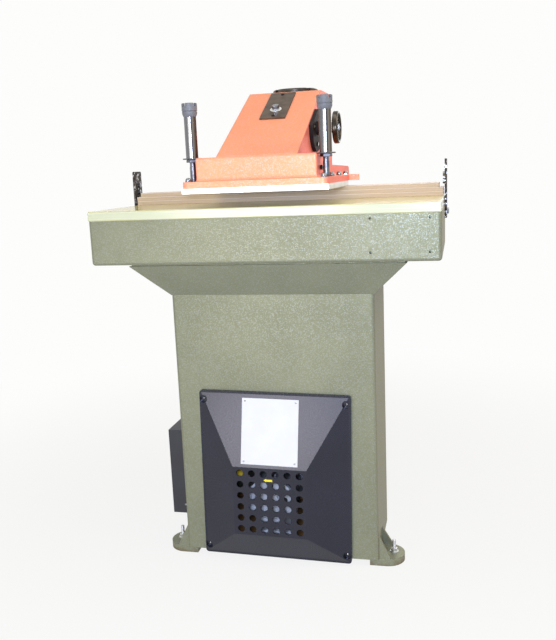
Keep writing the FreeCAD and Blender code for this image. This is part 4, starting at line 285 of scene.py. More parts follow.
def scaled_bar_steel(name):
    """Hot-rolled flat bar with its dark scale knocked off in small bright patches."""
    patch_mm = 7
    material, tree, here = new_finish(name)
    patch = add(tree, "ShaderNodeTexNoise", {
        "Vector": here["Object"], "Scale": 1 / (patch_mm * MM), "Detail": 5.0, "Roughness": 0.65,
        "Distortion": 0.8})
    ground = add(tree, "ShaderNodeValToRGB", {"Fac": patch}, [("#241f1b", 0.40), ("#4a4038", 0.56)])
    bright = add(tree, "ShaderNodeMapRange", {
        "Value": patch, "From Min": 0.56, "From Max": 0.63}, interpolation_type="SMOOTHSTEP")
    colour = add(tree, "ShaderNodeMix", {SHARE: bright, UNDER: ground, OVER: "#c9cbcc"}, data_type="RGBA")
    gloss = add(tree, "ShaderNodeMapRange", {"Value": bright, "To Min": 0.6, "To Max": 0.3})
    relief = add(tree, "ShaderNodeBump", {"Height": patch, "Strength": 0.6, "Distance": 0.4 * MM})
    shader = add(tree, "ShaderNodeBsdfPrincipled", {
        "Base Color": colour, "Metallic": 0.85, "Roughness": gloss, "Normal": relief})
    add(tree, "ShaderNodeOutputMaterial", {"Surface": shader})
    return material


EVEN = (1, 1, 1)

FINISH_OF_SLOT = {
    # Grey-green with pale glinting specks, a browner painted shade on its side walls, brown close to the floor
    "green_enamel": hammered_enamel(
        "green_hammered_enamel", "#7f7f57", "#76764e", "#abb3bb", "#8f8966", "#7c744a", 1.4, 0.46, 1.0, "#6d5138"),
    # Warm orange with rosy specks, a redder painted shade on its side walls
    "orange_enamel": hammered_enamel(
        "orange_hammered_enamel", "#fba25c", "#f79b55", "#f6cae2", "#ee5d34", "#f26436", 1.3, 0.46, 0.12),
    "cutting_board": planed_cutting_board("planed_polypropylene"),
    "strip_board": sawn_fibre_board("sawn_fibre_board"),
    "bracket_steel": scaled_bar_steel("scaled_hot_rolled_bar"),
    # Small bright heads with darker spots, half mirror
    "zinc_steel": bare_metal("bright_zinc_plate", "#8f9294", "#74787a", EVEN, 2.0, 0.20, 8),
    # Near black with a bluish half gloss that shows each facet's own tone
    "grey_plastic": moulded(
        "dark_grey_vacuum_formed_plastic", "#1c1c24", "#18181e", 1.4, 0.27, 0.04, 120, 0.56, "#e6e9ff"),
    # Smooth glossy white
    "bare_plate": moulded("white_enamelled_aluminium", "#d0d0ce", "#cacac8", 0.8, 0.3, 0.02),
    # Dark grey with an orange-peel skin and little gloss
    "dark_enamel": moulded("dark_grey_powder_coat", "#2c2c33", "#27272d", 1.2, 0.48, 0.08),
    # Plain black with a dull even grain
    "dark_plastic": moulded("black_moulded_plastic", "#2b2b2e", "#252527", 1.0, 0.5),
    # Yellow-brown with a soft metal gloss
    "bronze": bare_metal("cast_bronze", "#b98d4e", "#a67a3f", EVEN, 2.0, 0.35),
    # Clean grey with fine rings from the tool
    "machined_steel": bare_metal("machined_steel", "#a9abad", "#96999c", (1, 1, 6), 1.5, 0.3),
    "chrome": drawn_tube_steel("polished_drawn_tube", 15.5),
    # Black with brown oil spots and a sharp gloss
    "black_steel": bare_metal("oil_blackened_steel", "#55504a", "#37322d", EVEN, 3.0, 0.20, 18),
    # Warm brown-grey sheet with faint streaks down its slope
    "browned_plate": bare_metal("browned_steel_plate", "#65574a", "#51463c", (6, 1, 1), 3.0, 0.42, 22),
    # Pale, grainy and satin, as it left the mould
    "motor_aluminium": bare_metal("cast_aluminium", "#dfe1e2", "#cfd2d4", EVEN, 1.6, 0.42),
    # Plain dark grey blades
    "fan_plastic": moulded("grey_fan_plastic", "#3c4046", "#35383e", 1.0, 0.5),
    # Cool grey brushed-on paint
    "tank_steel": moulded("grey_tank_enamel", "#7d8589", "#70777b", 2.0, 0.45),
    # Strong yellow with a soft gloss
    "yellow_plastic": moulded("yellow_coil_plastic", "#d8b526", "#c9a61f", 1.0, 0.4),
    # Strong red with a soft gloss
    "red_plastic": moulded("red_plastic_cap", "#b8322c", "#a72a26", 1.0, 0.4),
    # Light grey with a smooth plated gloss
    "pipe_steel": bare_metal("zinc_plated_pipe", "#b9bdbd", "#9fa4a5", EVEN, 2.0, 0.3),
    # Brown with wet uneven patches of old oil
    "tray_steel": moulded("oily_steel_tray", "#a87f50", "#8a6338", 9.0, 0.35),
    # Near white with fine grinding lines from left to right
    "plate_aluminium": bare_metal("ground_aluminium_plate", "#dcdcd9", "#cfcfca", (1, 8, 1), 1.2, 0.36),
    # Mid grey with turning rings and small dark spots
    "handle_steel": bare_metal("turned_grey_steel", "#74757a", "#5b5a5d", (1, 1, 6), 1.2, 0.32, 9),
    # Matt mid grey with a grain that hands can grip
    "grip_grey": moulded("matt_grey_grip_plastic", "#76777a", "#6b6c6f", 1.0, 0.52, 0.1),
}
# Pale even plate without the mirror, as on nuts dulled by handling
SATIN_ZINC = bare_metal("satin_zinc_plate", "#d3d4d2", "#c3c4c2", EVEN, 2.0, 0.42, 8)
# Flat warm black that hides the metal
BLACK_ENAMEL = moulded("dull_black_enamel", "#2a2321", "#1f1a19", 1.6, 0.66, 0.05, 30, 0.12)
# Light silver that catches what light comes through the vents
SILVER_ENAMEL = moulded("silver_enamel", "#d9dbdc", "#cdd0d2", 1.6, 0.35, 0.08)
# Smooth bright yellow
MARK_YELLOW = moulded("yellow_vinyl_film", "#f0dc2c", "#e8d324", 1.0, 0.35, 0.01)

FINISH_OF_NODE = {"wheel_cover": BLACK_ENAMEL, "motor_end_shield": SILVER_ENAMEL}

for node, piece in NODES.items():
    for slot in piece.material_slots:
        slot.material = FINISH_OF_NODE.get(node, FINISH_OF_SLOT[slot.material.name.split(".")[0]])


# Trees for what repeats

def started_tree(name, sizes):
    """An empty tree that takes points, named sizes in metres, and the finish."""
    tree = bpy.data.node_groups.new(name, "GeometryNodeTree")
    tree.interface.new_socket("Geometry", in_out="INPUT", socket_type="NodeSocketGeometry")
    for label, value in sizes.items():
        socket = tree.interface.new_socket(label, in_out="INPUT", socket_type="NodeSocketFloat")
        socket.default_value = value
    tree.interface.new_socket("Finish", in_out="INPUT", socket_type="NodeSocketMaterial")
    tree.interface.new_socket("Geometry", in_out="OUTPUT", socket_type="NodeSocketGeometry")
    return tree, add(tree, "NodeGroupInput").outputs


def lifted(tree, shape, height, share=1.0):
    """A shape moved up its own axis by a share of a height."""
    rise = add(tree, "ShaderNodeMath", {0: height, 1: share}, operation="MULTIPLY")
    up = add(tree, "ShaderNodeCombineXYZ", {"Z": rise})
    return add(tree, "GeometryNodeTransform", {"Geometry": shape, "Translation": up})


def where_given(tree, size, above, plain, fuller):
    """The fuller shape where a size is given, and the plain one where it is left at nothing."""
    given = add(tree, "FunctionNodeCompare", {0: size, 1: above}, operation="GREATER_THAN")
    return add(tree, "GeometryNodeSwitch", {
        "Switch": given, "False": plain, "True": fuller}, input_type="GEOMETRY")


def stood_on_points(tree, given, shape, seed):
    """Ends a tree: the shape stands on every point along the point's own way, turned about it by chance up to
    the tree's Spin, and all become one mesh in the given finish."""
    way = add(tree, "GeometryNodeInputNamedAttribute", {"Name": "way"}, data_type="FLOAT_VECTOR")
    facing = add(tree, "FunctionNodeAlignRotationToVector", {"Vector": way}, axis="Z")
    largest_number = 3
    chance = add(tree, "FunctionNodeRandomValue", {largest_number: given["Spin"], "Seed": seed}, data_type="FLOAT")
    twist = add(tree, "FunctionNodeAxisAngleToRotation", {"Axis": (0, 0, 1), "Angle": chance})
    turned_by = add(tree, "FunctionNodeRotateRotation", {
        "Rotation": facing, "Rotate By": twist}, rotation_space="LOCAL")
    standing = add(tree, "GeometryNodeInstanceOnPoints", {
        "Points": given["Geometry"], "Instance": shape, "Rotation": turned_by})
    solid = add(tree, "GeometryNodeRealizeInstances", {"Geometry": standing})
    finished = add(tree, "GeometryNodeSetMaterial", {"Geometry": solid, "Material": given["Finish"]})
    add(tree, "NodeGroupOutput", {"Geometry": finished})


def hex_heads_tree():
    """Hexagon heads or nuts with turned corners on round washers; a bore leaves room for a stud."""
    corner_per_flats, face_per_flats, flare_per_height = 0.57735, 0.475, 1.9
    drill_length, least = 60 * MM, 0.1 * MM
    tree, given = started_tree("hexagon_heads", {
        "Flats": 13 * MM, "Height": 5 * MM, "Washer Radius": 0.0, "Washer Height": 0.0, "Bore Radius": 0.0,
        "Spin": 0.0})
    corner = add(tree, "ShaderNodeMath", {0: given["Flats"], 1: corner_per_flats}, operation="MULTIPLY")
    prism = add(tree, "GeometryNodeMeshCylinder", {"Vertices": 6, "Radius": corner, "Depth": given["Height"]})
    face = add(tree, "ShaderNodeMath", {0: given["Flats"], 1: face_per_flats}, operation="MULTIPLY")
    flare = add(tree, "ShaderNodeMath", {0: given["Height"], 1: flare_per_height, 2: face}, operation="MULTIPLY_ADD")
    turned_off = add(tree, "GeometryNodeMeshCone", {
        "Vertices": 40, "Radius Top": face, "Radius Bottom": flare, "Depth": given["Height"]})
    head = add(tree, "GeometryNodeMeshBoolean", {
        1: [lifted(tree, prism, given["Height"], 0.5), turned_off]}, operation="INTERSECT", solver="EXACT")
    raised = lifted(tree, head, given["Washer Height"])
    disc = add(tree, "GeometryNodeMeshCylinder", {
        "Vertices": 36, "Radius": given["Washer Radius"], "Depth": given["Washer Height"]})
    with_disc = add(tree, "GeometryNodeMeshBoolean", {
        1: [raised, lifted(tree, disc, given["Washer Height"], 0.5)]}, operation="UNION", solver="EXACT")
    whole = where_given(tree, given["Washer Radius"], least, raised, with_disc)
    drill = add(tree, "GeometryNodeMeshCylinder", {
        "Vertices": 24, "Radius": given["Bore Radius"], "Depth": drill_length})
    drilled = add(tree, "GeometryNodeMeshBoolean", {0: whole, 1: drill}, operation="DIFFERENCE", solver="EXACT")
    stood_on_points(tree, given, where_given(tree, given["Bore Radius"], least, whole, drilled), seed=11)
    return tree


def domed_heads_tree():
    """Round heads with a short skirt and a dome; a recess cuts a cross into the dome."""
    facets, least = 28, 0.01 * MM
    tree, given = started_tree("domed_heads", {
        "Radius": 8 * MM, "Skirt Height": 5 * MM, "Dome Height": 6 * MM, "Recess Width": 0.0,
        "Recess Reach": 0.0, "Recess Depth": 0.0, "Spin": 0.0})
    ball = add(tree, "GeometryNodeMeshUVSphere", {"Segments": facets, "Rings": 16, "Radius": given["Radius"]})
    height = add(tree, "ShaderNodeSeparateXYZ", {
        "Vector": add(tree, "GeometryNodeInputPosition")}).outputs["Z"]
    below = add(tree, "FunctionNodeCompare", {0: height, 1: -least}, operation="LESS_THAN")
    cap = add(tree, "GeometryNodeDeleteGeometry", {"Geometry": ball, "Selection": below}, domain="POINT")
    flatness = add(tree, "ShaderNodeMath", {0: given["Dome Height"], 1: given["Radius"]}, operation="DIVIDE")
    squash = add(tree, "ShaderNodeCombineXYZ", {"X": 1.0, "Y": 1.0, "Z": flatness})
    pressed = add(tree, "GeometryNodeTransform", {"Geometry": cap, "Scale": squash})
    skirt = add(tree, "GeometryNodeMeshCylinder", {
        "Vertices": facets, "Radius": given["Radius"], "Depth": given["Skirt Height"]})
    open_skirt = add(tree, "GeometryNodeDeleteGeometry", {
        "Geometry": skirt, "Selection": skirt.outputs["Top"]}, domain="FACE")
    shell = add(tree, "GeometryNodeJoinGeometry", {"Geometry": [
        lifted(tree, pressed, given["Skirt Height"]), lifted(tree, open_skirt, given["Skirt Height"], 0.5)]})
    closed = add(tree, "GeometryNodeMergeByDistance", {"Geometry": shell, "Distance": least})
    depth = add(tree, "ShaderNodeMath", {0: given["Recess Depth"], 1: 2.0}, operation="MULTIPLY")
    crown = add(tree, "ShaderNodeMath", {0: given["Skirt Height"], 1: given["Dome Height"]}, operation="ADD")
    slots = []
    for along_x, along_y in (("Recess Reach", "Recess Width"), ("Recess Width", "Recess Reach")):
        size = add(tree, "ShaderNodeCombineXYZ", {"X": given[along_x], "Y": given[along_y], "Z": depth})
        slots.append(lifted(tree, add(tree, "GeometryNodeMeshCube", {"Size": size}), crown))
    cut = add(tree, "GeometryNodeMeshBoolean", {0: closed, 1: slots}, operation="DIFFERENCE", solver="EXACT")
    stood_on_points(tree, given, where_given(tree, given["Recess Depth"], least, closed, cut), seed=23)
    return tree


def threaded_rods_tree():
    """Threaded rods: a helical ridge wound on a plain core, both from the point upwards."""
    ridge_per_pitch = 0.42
    tree, given = started_tree("threaded_rods", {
        "Radius": 5 * MM, "Pitch": 1.5 * MM, "Length": 50 * MM, "Spin": 0.0})
    turns = add(tree, "ShaderNodeMath", {0: given["Length"], 1: given["Pitch"]}, operation="DIVIDE")
    ridge = add(tree, "ShaderNodeMath", {0: given["Pitch"], 1: ridge_per_pitch}, operation="MULTIPLY")
    middle = add(tree, "ShaderNodeMath", {0: given["Radius"], 1: ridge}, operation="SUBTRACT")
    both_ends = add(tree, "ShaderNodeMath", {0: ridge, 1: 2.0}, operation="MULTIPLY")
    run = add(tree, "ShaderNodeMath", {0: given["Length"], 1: both_ends}, operation="SUBTRACT")
    helix = add(tree, "GeometryNodeCurveSpiral", {
        "Resolution": 18, "Rotations": turns, "Start Radius": middle, "End Radius": middle, "Height": run})
    section = add(tree, "GeometryNodeCurvePrimitiveCircle", {"Resolution": 4, "Radius": ridge}, mode="RADIUS")
    wound = add(tree, "GeometryNodeCurveToMesh", {"Curve": helix, "Profile Curve": section, "Fill Caps": True})
    core = add(tree, "GeometryNodeMeshCylinder", {"Vertices": 24, "Radius": middle, "Depth": given["Length"]})
    shape = add(tree, "GeometryNodeJoinGeometry", {
        "Geometry": [lifted(tree, wound, ridge), lifted(tree, core, given["Length"], 0.5)]})
    stood_on_points(tree, given, shape, seed=5)
    return tree


HEX_HEADS = hex_heads_tree()
DOMED_HEADS = domed_heads_tree()
THREADED_RODS = threaded_rods_tree()


# Making and placing pieces

def shown(name, data):
    """An object of the scene that holds a mesh, a lamp or a camera."""
    made = bpy.data.objects.new(name, data)
    bpy.context.scene.collection.objects.link(made)
    return made


def as_mesh(carrier):
    """The plain mesh of an object with its modifiers applied; the object goes."""
    mesh = bpy.data.meshes.new_from_object(carrier.evaluated_get(bpy.context.evaluated_depsgraph_get()))
    bpy.data.objects.remove(carrier)
    return mesh


def from_bmesh(shape, name):
    """A mesh of a finished bmesh, which is freed."""
    mesh = bpy.data.meshes.new(name)
    shape.to_mesh(mesh)
    shape.free()
    return mesh


def kept(name, mesh, body, sharp_deg=34, replaces=()):
    """Turns a finished mesh into a piece that rides on a body."""
    mesh.shade_smooth()
    mesh.set_sharp_from_angle(angle=math.radians(sharp_deg))
    piece = shown(name, mesh)
    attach(piece, body)
    if replaces:
        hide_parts(*replaces)


def stands_for(node, name, mesh, sharp_deg=30):
    """Turns a finished mesh into a piece that replaces a CAD node on the node's own body."""
    kept(name, mesh, BODY_OF[node], sharp_deg, [node])


def row_of(tree, places, sizes, finish):
    """A plain mesh of one shape on every (point, way) pair, in millimetres, from a tree."""
    points = bpy.data.meshes.new("fastener_points")
    points.from_pydata([Vector(p) * MM for p, way in places], [], [])
    ways = points.attributes.new("way", "FLOAT_VECTOR", "POINT")
    for item, (p, way) in zip(ways.data, places):
        item.vector = Vector(way).normalized()
    carrier = shown("fastener_points", points)
    modifier = carrier.modifiers.new("shapes", "NODES")
    modifier.node_group = tree
    socket_of = {s.name: s.identifier for s in tree.interface.items_tree if s.in_out == "INPUT"}
    for label, value in sizes.items():
        modifier[socket_of[label]] = value if label == "Spin" else value * MM
    modifier[socket_of["Finish"]] = finish
    mesh = as_mesh(carrier)
    mesh.materials.clear()
    mesh.materials.append(finish)
    return mesh


def as_one(meshes):
    """Several meshes joined into one, each in its own finish."""
    whole = bmesh.new()
    finishes = []
    for mesh in meshes:
        before = len(whole.faces)
        whole.from_mesh(mesh)
        whole.faces.ensure_lookup_table()
        if mesh.materials[0] not in finishes:
            finishes.append(mesh.materials[0])
        for face in whole.faces[before:]:
            face.material_index = finishes.index(mesh.materials[0])
    joined = from_bmesh(whole, "joined")
    for finish in finishes:
        joined.materials.append(finish)
    return joined


def lathe(profile, sides, finish):
    """A closed turned shape about Z from (radius, height) points in millimetres, bottom axis to top axis."""
    shape = bmesh.new()
    rings = []
    for radius, height in profile:
        if radius == 0:
            rings.append([shape.verts.new((0, 0, height * MM))])
            continue
        rings.append([shape.verts.new((
            radius * MM * math.cos(math.tau * i / sides), radius * MM * math.sin(math.tau * i / sides),
            height * MM)) for i in range(sides)])
    for low, high in zip(rings, rings[1:]):
        for i in range(sides):
            j = (i + 1) % sides
            around = [low[0]] if len(low) == 1 else [low[i], low[j]]
            around += [high[0]] if len(high) == 1 else [high[j], high[i]]
            if len(around) > 2:
                shape.faces.new(around)
    if len(rings[0]) > 1:
        for i in range(sides):
            j = (i + 1) % sides
            shape.faces.new([rings[-1][i], rings[-1][j], rings[0][j], rings[0][i]])
    bmesh.ops.recalc_face_normals(shape, faces=shape.faces)
    mesh = from_bmesh(shape, "turned")
    mesh.materials.append(finish)
    return mesh


def arc(radius_at, height_at, size, start_deg, end_deg, steps):
    """Points of a rounded corner in a lathe profile, from one angle to another."""
    return [(radius_at + size * math.cos(math.radians(start_deg + (end_deg - start_deg) * i / steps)),
             height_at + size * math.sin(math.radians(start_deg + (end_deg - start_deg) * i / steps)))
            for i in range(steps + 1)]


def moved(mesh, place, turn=None):
    """A copy of a mesh turned, then carried to a place in millimetres."""
    copy = mesh.copy()
    copy.transform(Matrix.Translation(Vector(place) * MM) @ (turn or Matrix()))
    return copy


# Fasteners, with places and sizes in millimetres

UP, FORWARD, BACK, LEFT, RIGHT = (0, 0, 1), (0, -1, 0), (0, 1, 0), (-1, 0, 0), (1, 0, 0)
SLOPE_UP = (0, -0.44276, 0.89664)
PLATE_OUT = (0.0035, -0.9799, 0.1994)
HANDLE_X, HANDLE_Y = 172, -510
LUG_X, LUG_Y = 314, -390
WHEEL_Y, WHEEL_Z = -305, 1194
SIXTH_TURNS = [(math.sin(math.radians(60 * i)), math.cos(math.radians(60 * i))) for i in range(6)]


def fastened(name, node, slot, rows, sharp_deg=34):
    """One piece from several rows of fasteners; it stands for a CAD node on the node's own body."""
    meshes = [row_of(tree, places, sizes, finish[0] if finish else FINISH_OF_SLOT[slot])
              for tree, places, sizes, *finish in rows]
    stands_for(node, name, as_one(meshes), sharp_deg)


FLANGE_BOLTS = [((side * 172, y, 1067), UP) for side in SIDES for y in (-552, -427, -302, -177)]
fastened("domed_flange_bolts", "plate_bolts", "zinc_steel", [
    (DOMED_HEADS, FLANGE_BOLTS, {"Radius": 7.2, "Skirt Height": 4.6, "Dome Height": 6.2}),
    (HEX_HEADS, FLANGE_BOLTS, {"Flats": 14.2, "Height": 3.2, "Spin": 1.0}),
])

OUTER_ENDS = [((side * 457, y, 958), (side, 0, 0)) for side in SIDES for y in (-222, -196)]
INNER_FACES = [((side * 451, y, z), (-side, 0, 0)) for side in SIDES for y, z in ((-205, 1059), (-208, 1040))]
fastened("bracket_hexagon_bolts", "bracket_bolts", "zinc_steel", [
    (HEX_HEADS, OUTER_ENDS + INNER_FACES, {"Flats": 13, "Height": 5.3, "Spin": 1.0}),
])

FRONT_WELLS = [((x, -453, z), FORWARD) for x, z in (
    (-206.76, 40.51), (-199.18, 474.44), (191.18, 33.56), (198.76, 467.49))]
REAR_CORNERS = [((side * 96, 113, z), BACK) for side in SIDES for z in (119, 441)]
fastened("cover_cross_head_screws", "cover_screws", "zinc_steel", [
    (DOMED_HEADS, FRONT_WELLS + REAR_CORNERS,
     {"Radius": 3.8, "Skirt Height": 1.2, "Dome Height": 2.0, "Recess Width": 1.2, "Recess Reach": 4.6,
      "Recess Depth": 1.8, "Spin": 3.0}),
])

fastened("plate_domed_rivets", "plate_rivets", "zinc_steel", [
    (DOMED_HEADS, [((-82.01, -498.08, 311.33), PLATE_OUT), ((-79.19, -465.16, 473.02), PLATE_OUT),
                   ((59.97, -498.08, 308.85), PLATE_OUT), ((62.79, -465.16, 470.54), PLATE_OUT)],
     {"Radius": 2.6, "Skirt Height": 0.3, "Dome Height": 0.9}),
])

LID_CORNERS = [((-337, y, z), LEFT) for y in (-381, -225) for z in (111, 344)]
fastened("box_cross_head_screws", "electrical_box_screws", "zinc_steel", [
    (DOMED_HEADS, LID_CORNERS + [((-297, -393, 125), FORWARD)],
     {"Radius": 4.2, "Skirt Height": 0.9, "Dome Height": 2.1, "Recess Width": 1.0, "Recess Reach": 4.4,
      "Recess Depth": 1.4, "Spin": 3.0}),
])

WHEEL_COVER_RIM = [((115.2, WHEEL_Y - 42, WHEEL_Z), RIGHT), ((115.2, WHEEL_Y, WHEEL_Z - 42), RIGHT),
                   ((115.2, WHEEL_Y + 42, WHEEL_Z), RIGHT)]
fastened("arm_cover_screw_heads", "arm_cover_screws", "black_steel", [
    (DOMED_HEADS, [((0, -323.74, 1232.28), SLOPE_UP), ((0, -191.93, 1297.36), SLOPE_UP)],
     {"Radius": 5.2, "Skirt Height": 0.5, "Dome Height": 1.3, "Recess Width": 1.2, "Recess Reach": 5.6,
      "Recess Depth": 0.9, "Spin": 3.0}, BLACK_ENAMEL),
    (HEX_HEADS, WHEEL_COVER_RIM, {"Flats": 10, "Height": 3.5, "Spin": 1.0}),
])

fastened("guide_hexagon_screws", "guide_screws", "zinc_steel", [
    (HEX_HEADS, [((104 * x, 104 * y, 880), UP) for x, y in SIXTH_TURNS], {"Flats": 16, "Height": 6.5, "Spin": 1.0}),
    (HEX_HEADS, [((74, 0, 1024), UP), ((0, 74, 1024), UP), ((-74, 0, 1024), UP), ((0, -74, 1024), UP)],
     {"Flats": 8, "Height": 3, "Spin": 1.0}),
])

BOLT_SEAT = Vector((0, -287.86, 1252.22))
fastened("slope_plate_bolt", "slope_cover_bolt", "zinc_steel", [
    (DOMED_HEADS, [(BOLT_SEAT - 2 * Vector(SLOPE_UP), SLOPE_UP)],
     {"Radius": 16, "Skirt Height": 1.2, "Dome Height": 1.4}, SATIN_ZINC),
    (HEX_HEADS, [(BOLT_SEAT - 0.4 * Vector(SLOPE_UP), SLOPE_UP)], {"Flats": 17.5, "Height": 11, "Spin": 0.3}),
])

fastened("levelling_stud_threads", "anchor_studs", "zinc_steel", [
    (THREADED_RODS, [((side * LUG_X, LUG_Y, 0), UP) for side in SIDES],
     {"Radius": 5, "Pitch": 1.5, "Length": 56}, SATIN_ZINC),
], 50)
fastened("levelling_stud_nuts", "anchor_nuts", "zinc_steel", [
    (HEX_HEADS, [((side * LUG_X, LUG_Y, 20), UP) for side in SIDES],
     {"Flats": 17, "Height": 8, "Washer Radius": 12, "Washer Height": 2, "Bore Radius": 5.05, "Spin": 1.0},
     SATIN_ZINC),
])

fastened("rib_set_screw_and_nut", "arm_side_screw", "zinc_steel", [
    (THREADED_RODS, [((142.4, -494, 1090), RIGHT)], {"Radius": 3, "Pitch": 1.0, "Length": 27}),
    (HEX_HEADS, [((154.4, -494, 1090), RIGHT)], {"Flats": 11, "Height": 6, "Bore Radius": 3.05, "Spin": 0.6},
     FINISH_OF_SLOT["black_steel"]),
], 50)


# Handles and wheel

def at_both_handles(mesh, height, turn_of=lambda side: None):
    """A mesh on both handles at a height, as one."""
    return as_one([moved(mesh, (side * HANDLE_X, HANDLE_Y, height), turn_of(side)) for side in SIDES])


def handle_grip_heads():
    """Turned grip heads: a bowl-shaped collar, a groove above it, a rounded rim and four notches for the
    fingers, hollow for the push button. A petal of the rim faces the operator."""
    button_bore, cutter_middle, cutter_size = 8.15, 33.5, (60, 7.5, 15)
    profile = [(button_bore, 0), (14.6, 0), (15.6, 0.6), (17.0, 3.2), (18.3, 6.4), (19.0, 9.6), (19.1, 12.6)]
    profile += [(18.2, 13.2), (18.2, 14.6), (19.5, 15.2), (19.5, 31.5)]
    profile += arc(17.4, 31.9, 2.1, 0, 90, 5) + arc(14.0, 33.0, 1.0, 90, 180, 3)
    profile += [(13.0, 12.0), (button_bore, 12.0)]
    cutter = bmesh.new()
    for turn in (0, 90):
        block = bmesh.ops.create_cube(cutter, size=1.0)
        place = (Matrix.Translation((0, 0, cutter_middle * MM)) @ Matrix.Rotation(math.radians(turn), 4, "Z")
                 @ Matrix.Diagonal([size * MM for size in cutter_size] + [1]))
        bmesh.ops.transform(cutter, matrix=place, verts=block["verts"])
    tool = shown("notches", from_bmesh(cutter, "notches"))
    blank = shown("grip_blank", lathe(profile, 48, FINISH_OF_SLOT["grip_grey"]))
    cut = blank.modifiers.new("notches", "BOOLEAN")
    cut.object = tool
    cut.operation = "DIFFERENCE"
    cut.solver = "EXACT"
    cut.use_self = True
    head = as_mesh(blank)
    bpy.data.objects.remove(tool)
    pair = at_both_handles(head, 1227.5, lambda side: Matrix.Rotation(math.radians(59 - side * 5), 4, "Z"))
    stands_for("handle_crowns", "handle_grip_heads", pair)


def handle_stems_and_nuts():
    """Turned stems with a shallow neck under the lock nut."""
    stem = [(0, 0), (8, 0), (8, 17.2), (9.2, 18.4), (9.2, 20.4), (8, 21.6), (8, 52), (7.2, 53), (7.2, 62), (8, 63)]
    stem += [(8, 104), (0, 104)]
    stems = at_both_handles(lathe(stem, 32, FINISH_OF_SLOT["handle_steel"]), 1052)
    nuts = row_of(HEX_HEADS, [((side * HANDLE_X, HANDLE_Y, 1115.5), UP) for side in SIDES],
                  {"Flats": 27, "Height": 7.5, "Bore Radius": 8.02, "Spin": 0.8}, FINISH_OF_SLOT["handle_steel"])
    stands_for("handle_stems", "handle_stems_and_nuts", as_one([stems, nuts]))


def guard_discs():
    """Round guards with rolled edges under the tubes."""
    profile = [(8.1, 0)] + arc(23.0, 1.5, 1.5, -90, 90, 6) + [(8.1, 3.0)]
    disc = lathe(profile, 48, FINISH_OF_SLOT["handle_steel"])
    stands_for("handle_discs", "handle_guard_discs", at_both_handles(disc, 1123))


def stroke_handwheel():
    """Dished handwheel turned in one piece: a fat rounded rim, a thin curved web and a long hub. The lathe
    stands it up; it is then laid along X, its dish to the right."""
    rim_x, hub_x = 162.0, 133.5
    hub_from = hub_x - rim_x
    profile = [(9.05, hub_from), (13.0, hub_from), (14.0, hub_from + 1.0), (14.0, 0.5), (17.0, 3.2), (30.0, 5.2)]
    profile += arc(39.0, 4.0, 4.0, 200, 360, 9) + arc(39.0, 11.0, 4.0, 0, 190, 10)
    profile += [(34.2, 9.4), (28.0, 9.2), (17.0, 8.6), (15.0, 9.6), (12.5, 9.6), (11.4, 8.5), (6.05, 8.5)]
    profile += [(6.05, 4.5), (9.05, 4.5)]
    wheel = lathe(profile, 72, FINISH_OF_SLOT["black_steel"])
    laid = moved(wheel, (rim_x, WHEEL_Y, WHEEL_Z), Matrix.Rotation(math.radians(90), 4, "Y"))
    stands_for("handwheel", "dished_handwheel", laid)


handle_grip_heads()
handle_stems_and_nuts()
guard_discs()
stroke_handwheel()


# Turning arrow on the cover

def turning_arrow():
    """A plain arrow of yellow film between the vents: it shows which way the motor turns."""
    tilt = math.radians(1)
    along = Vector((math.cos(tilt), 0, -math.sin(tilt)))
    up = Vector((math.sin(tilt), 0, math.cos(tilt)))
    middle = Vector((-15.5, -500.0, 258.8))
    front_y, rear_y = -0.2, 0.1
    outline = [(-12.6, 0), (-5.6, 5.2), (-5.6, 3.1), (12, 3.1), (12, -3.1), (-5.6, -3.1), (-5.6, -5.2)]
    shape = bmesh.new()
    ahead, behind = [[shape.verts.new((middle + along * a + up * b + Vector((0, y, 0))) * MM) for a, b in outline]
                     for y in (front_y, rear_y)]
    shape.faces.new(ahead)
    shape.faces.new(behind[::-1])
    for i in range(len(outline)):
        j = (i + 1) % len(outline)
        shape.faces.new([ahead[i], behind[i], behind[j], ahead[j]])
    bmesh.ops.recalc_face_normals(shape, faces=shape.faces)
    bmesh.ops.triangulate(shape, faces=shape.faces)
    mesh = from_bmesh(shape, "turning_arrow")
    mesh.materials.append(MARK_YELLOW)
    kept("turning_arrow", mesh, BODY_OF["front_cover"])


turning_arrow()


# Floor, light and camera

BACKGROUND_WHITE = "#fdfdfc"


def seen_directly(tree):
    """One where the camera looks, straight or through a mirror or glass, and zero for light on its way."""
    ray = add(tree, "ShaderNodeLightPath").outputs
    seen = add(tree, "ShaderNodeMath", {0: ray["Is Camera Ray"], 1: ray["Is Glossy Ray"]}, operation="MAXIMUM")
    return add(tree, "ShaderNodeMath", {0: seen, 1: ray["Is Transmission Ray"]}, operation="MAXIMUM")


def studio_floor():
    """A wide pale paper floor that fades into the background away from the press and keeps its shadow."""
    half = 14.0
    mesh = bpy.data.meshes.new("studio_floor")
    mesh.from_pydata([(-half, -half, 0), (half, -half, 0), (half, half, 0), (-half, half, 0)], [], [(0, 1, 2, 3)])
    floor = shown("studio_floor", mesh)
    material, tree, here = new_finish("pale_studio_floor")
    reach = add(tree, "ShaderNodeVectorMath", {0: here["Object"]}, operation="LENGTH")
    far = add(tree, "ShaderNodeMapRange", {
        "Value": reach, "From Min": 0.5, "From Max": 2.2, "To Min": 0.86, "To Max": 1.0},
        interpolation_type="SMOOTHSTEP")
    share = add(tree, "ShaderNodeMath", {0: far, 1: seen_directly(tree)}, operation="MULTIPLY")
    paper = add(tree, "ShaderNodeBsdfDiffuse", {"Color": "#d9d8d4"})
    white = add(tree, "ShaderNodeEmission", {"Color": BACKGROUND_WHITE, "Strength": 1.0})
    blend = add(tree, "ShaderNodeMixShader", {0: share, 1: paper, 2: white})
    add(tree, "ShaderNodeOutputMaterial", {"Surface": blend})
    mesh.materials.append(material)


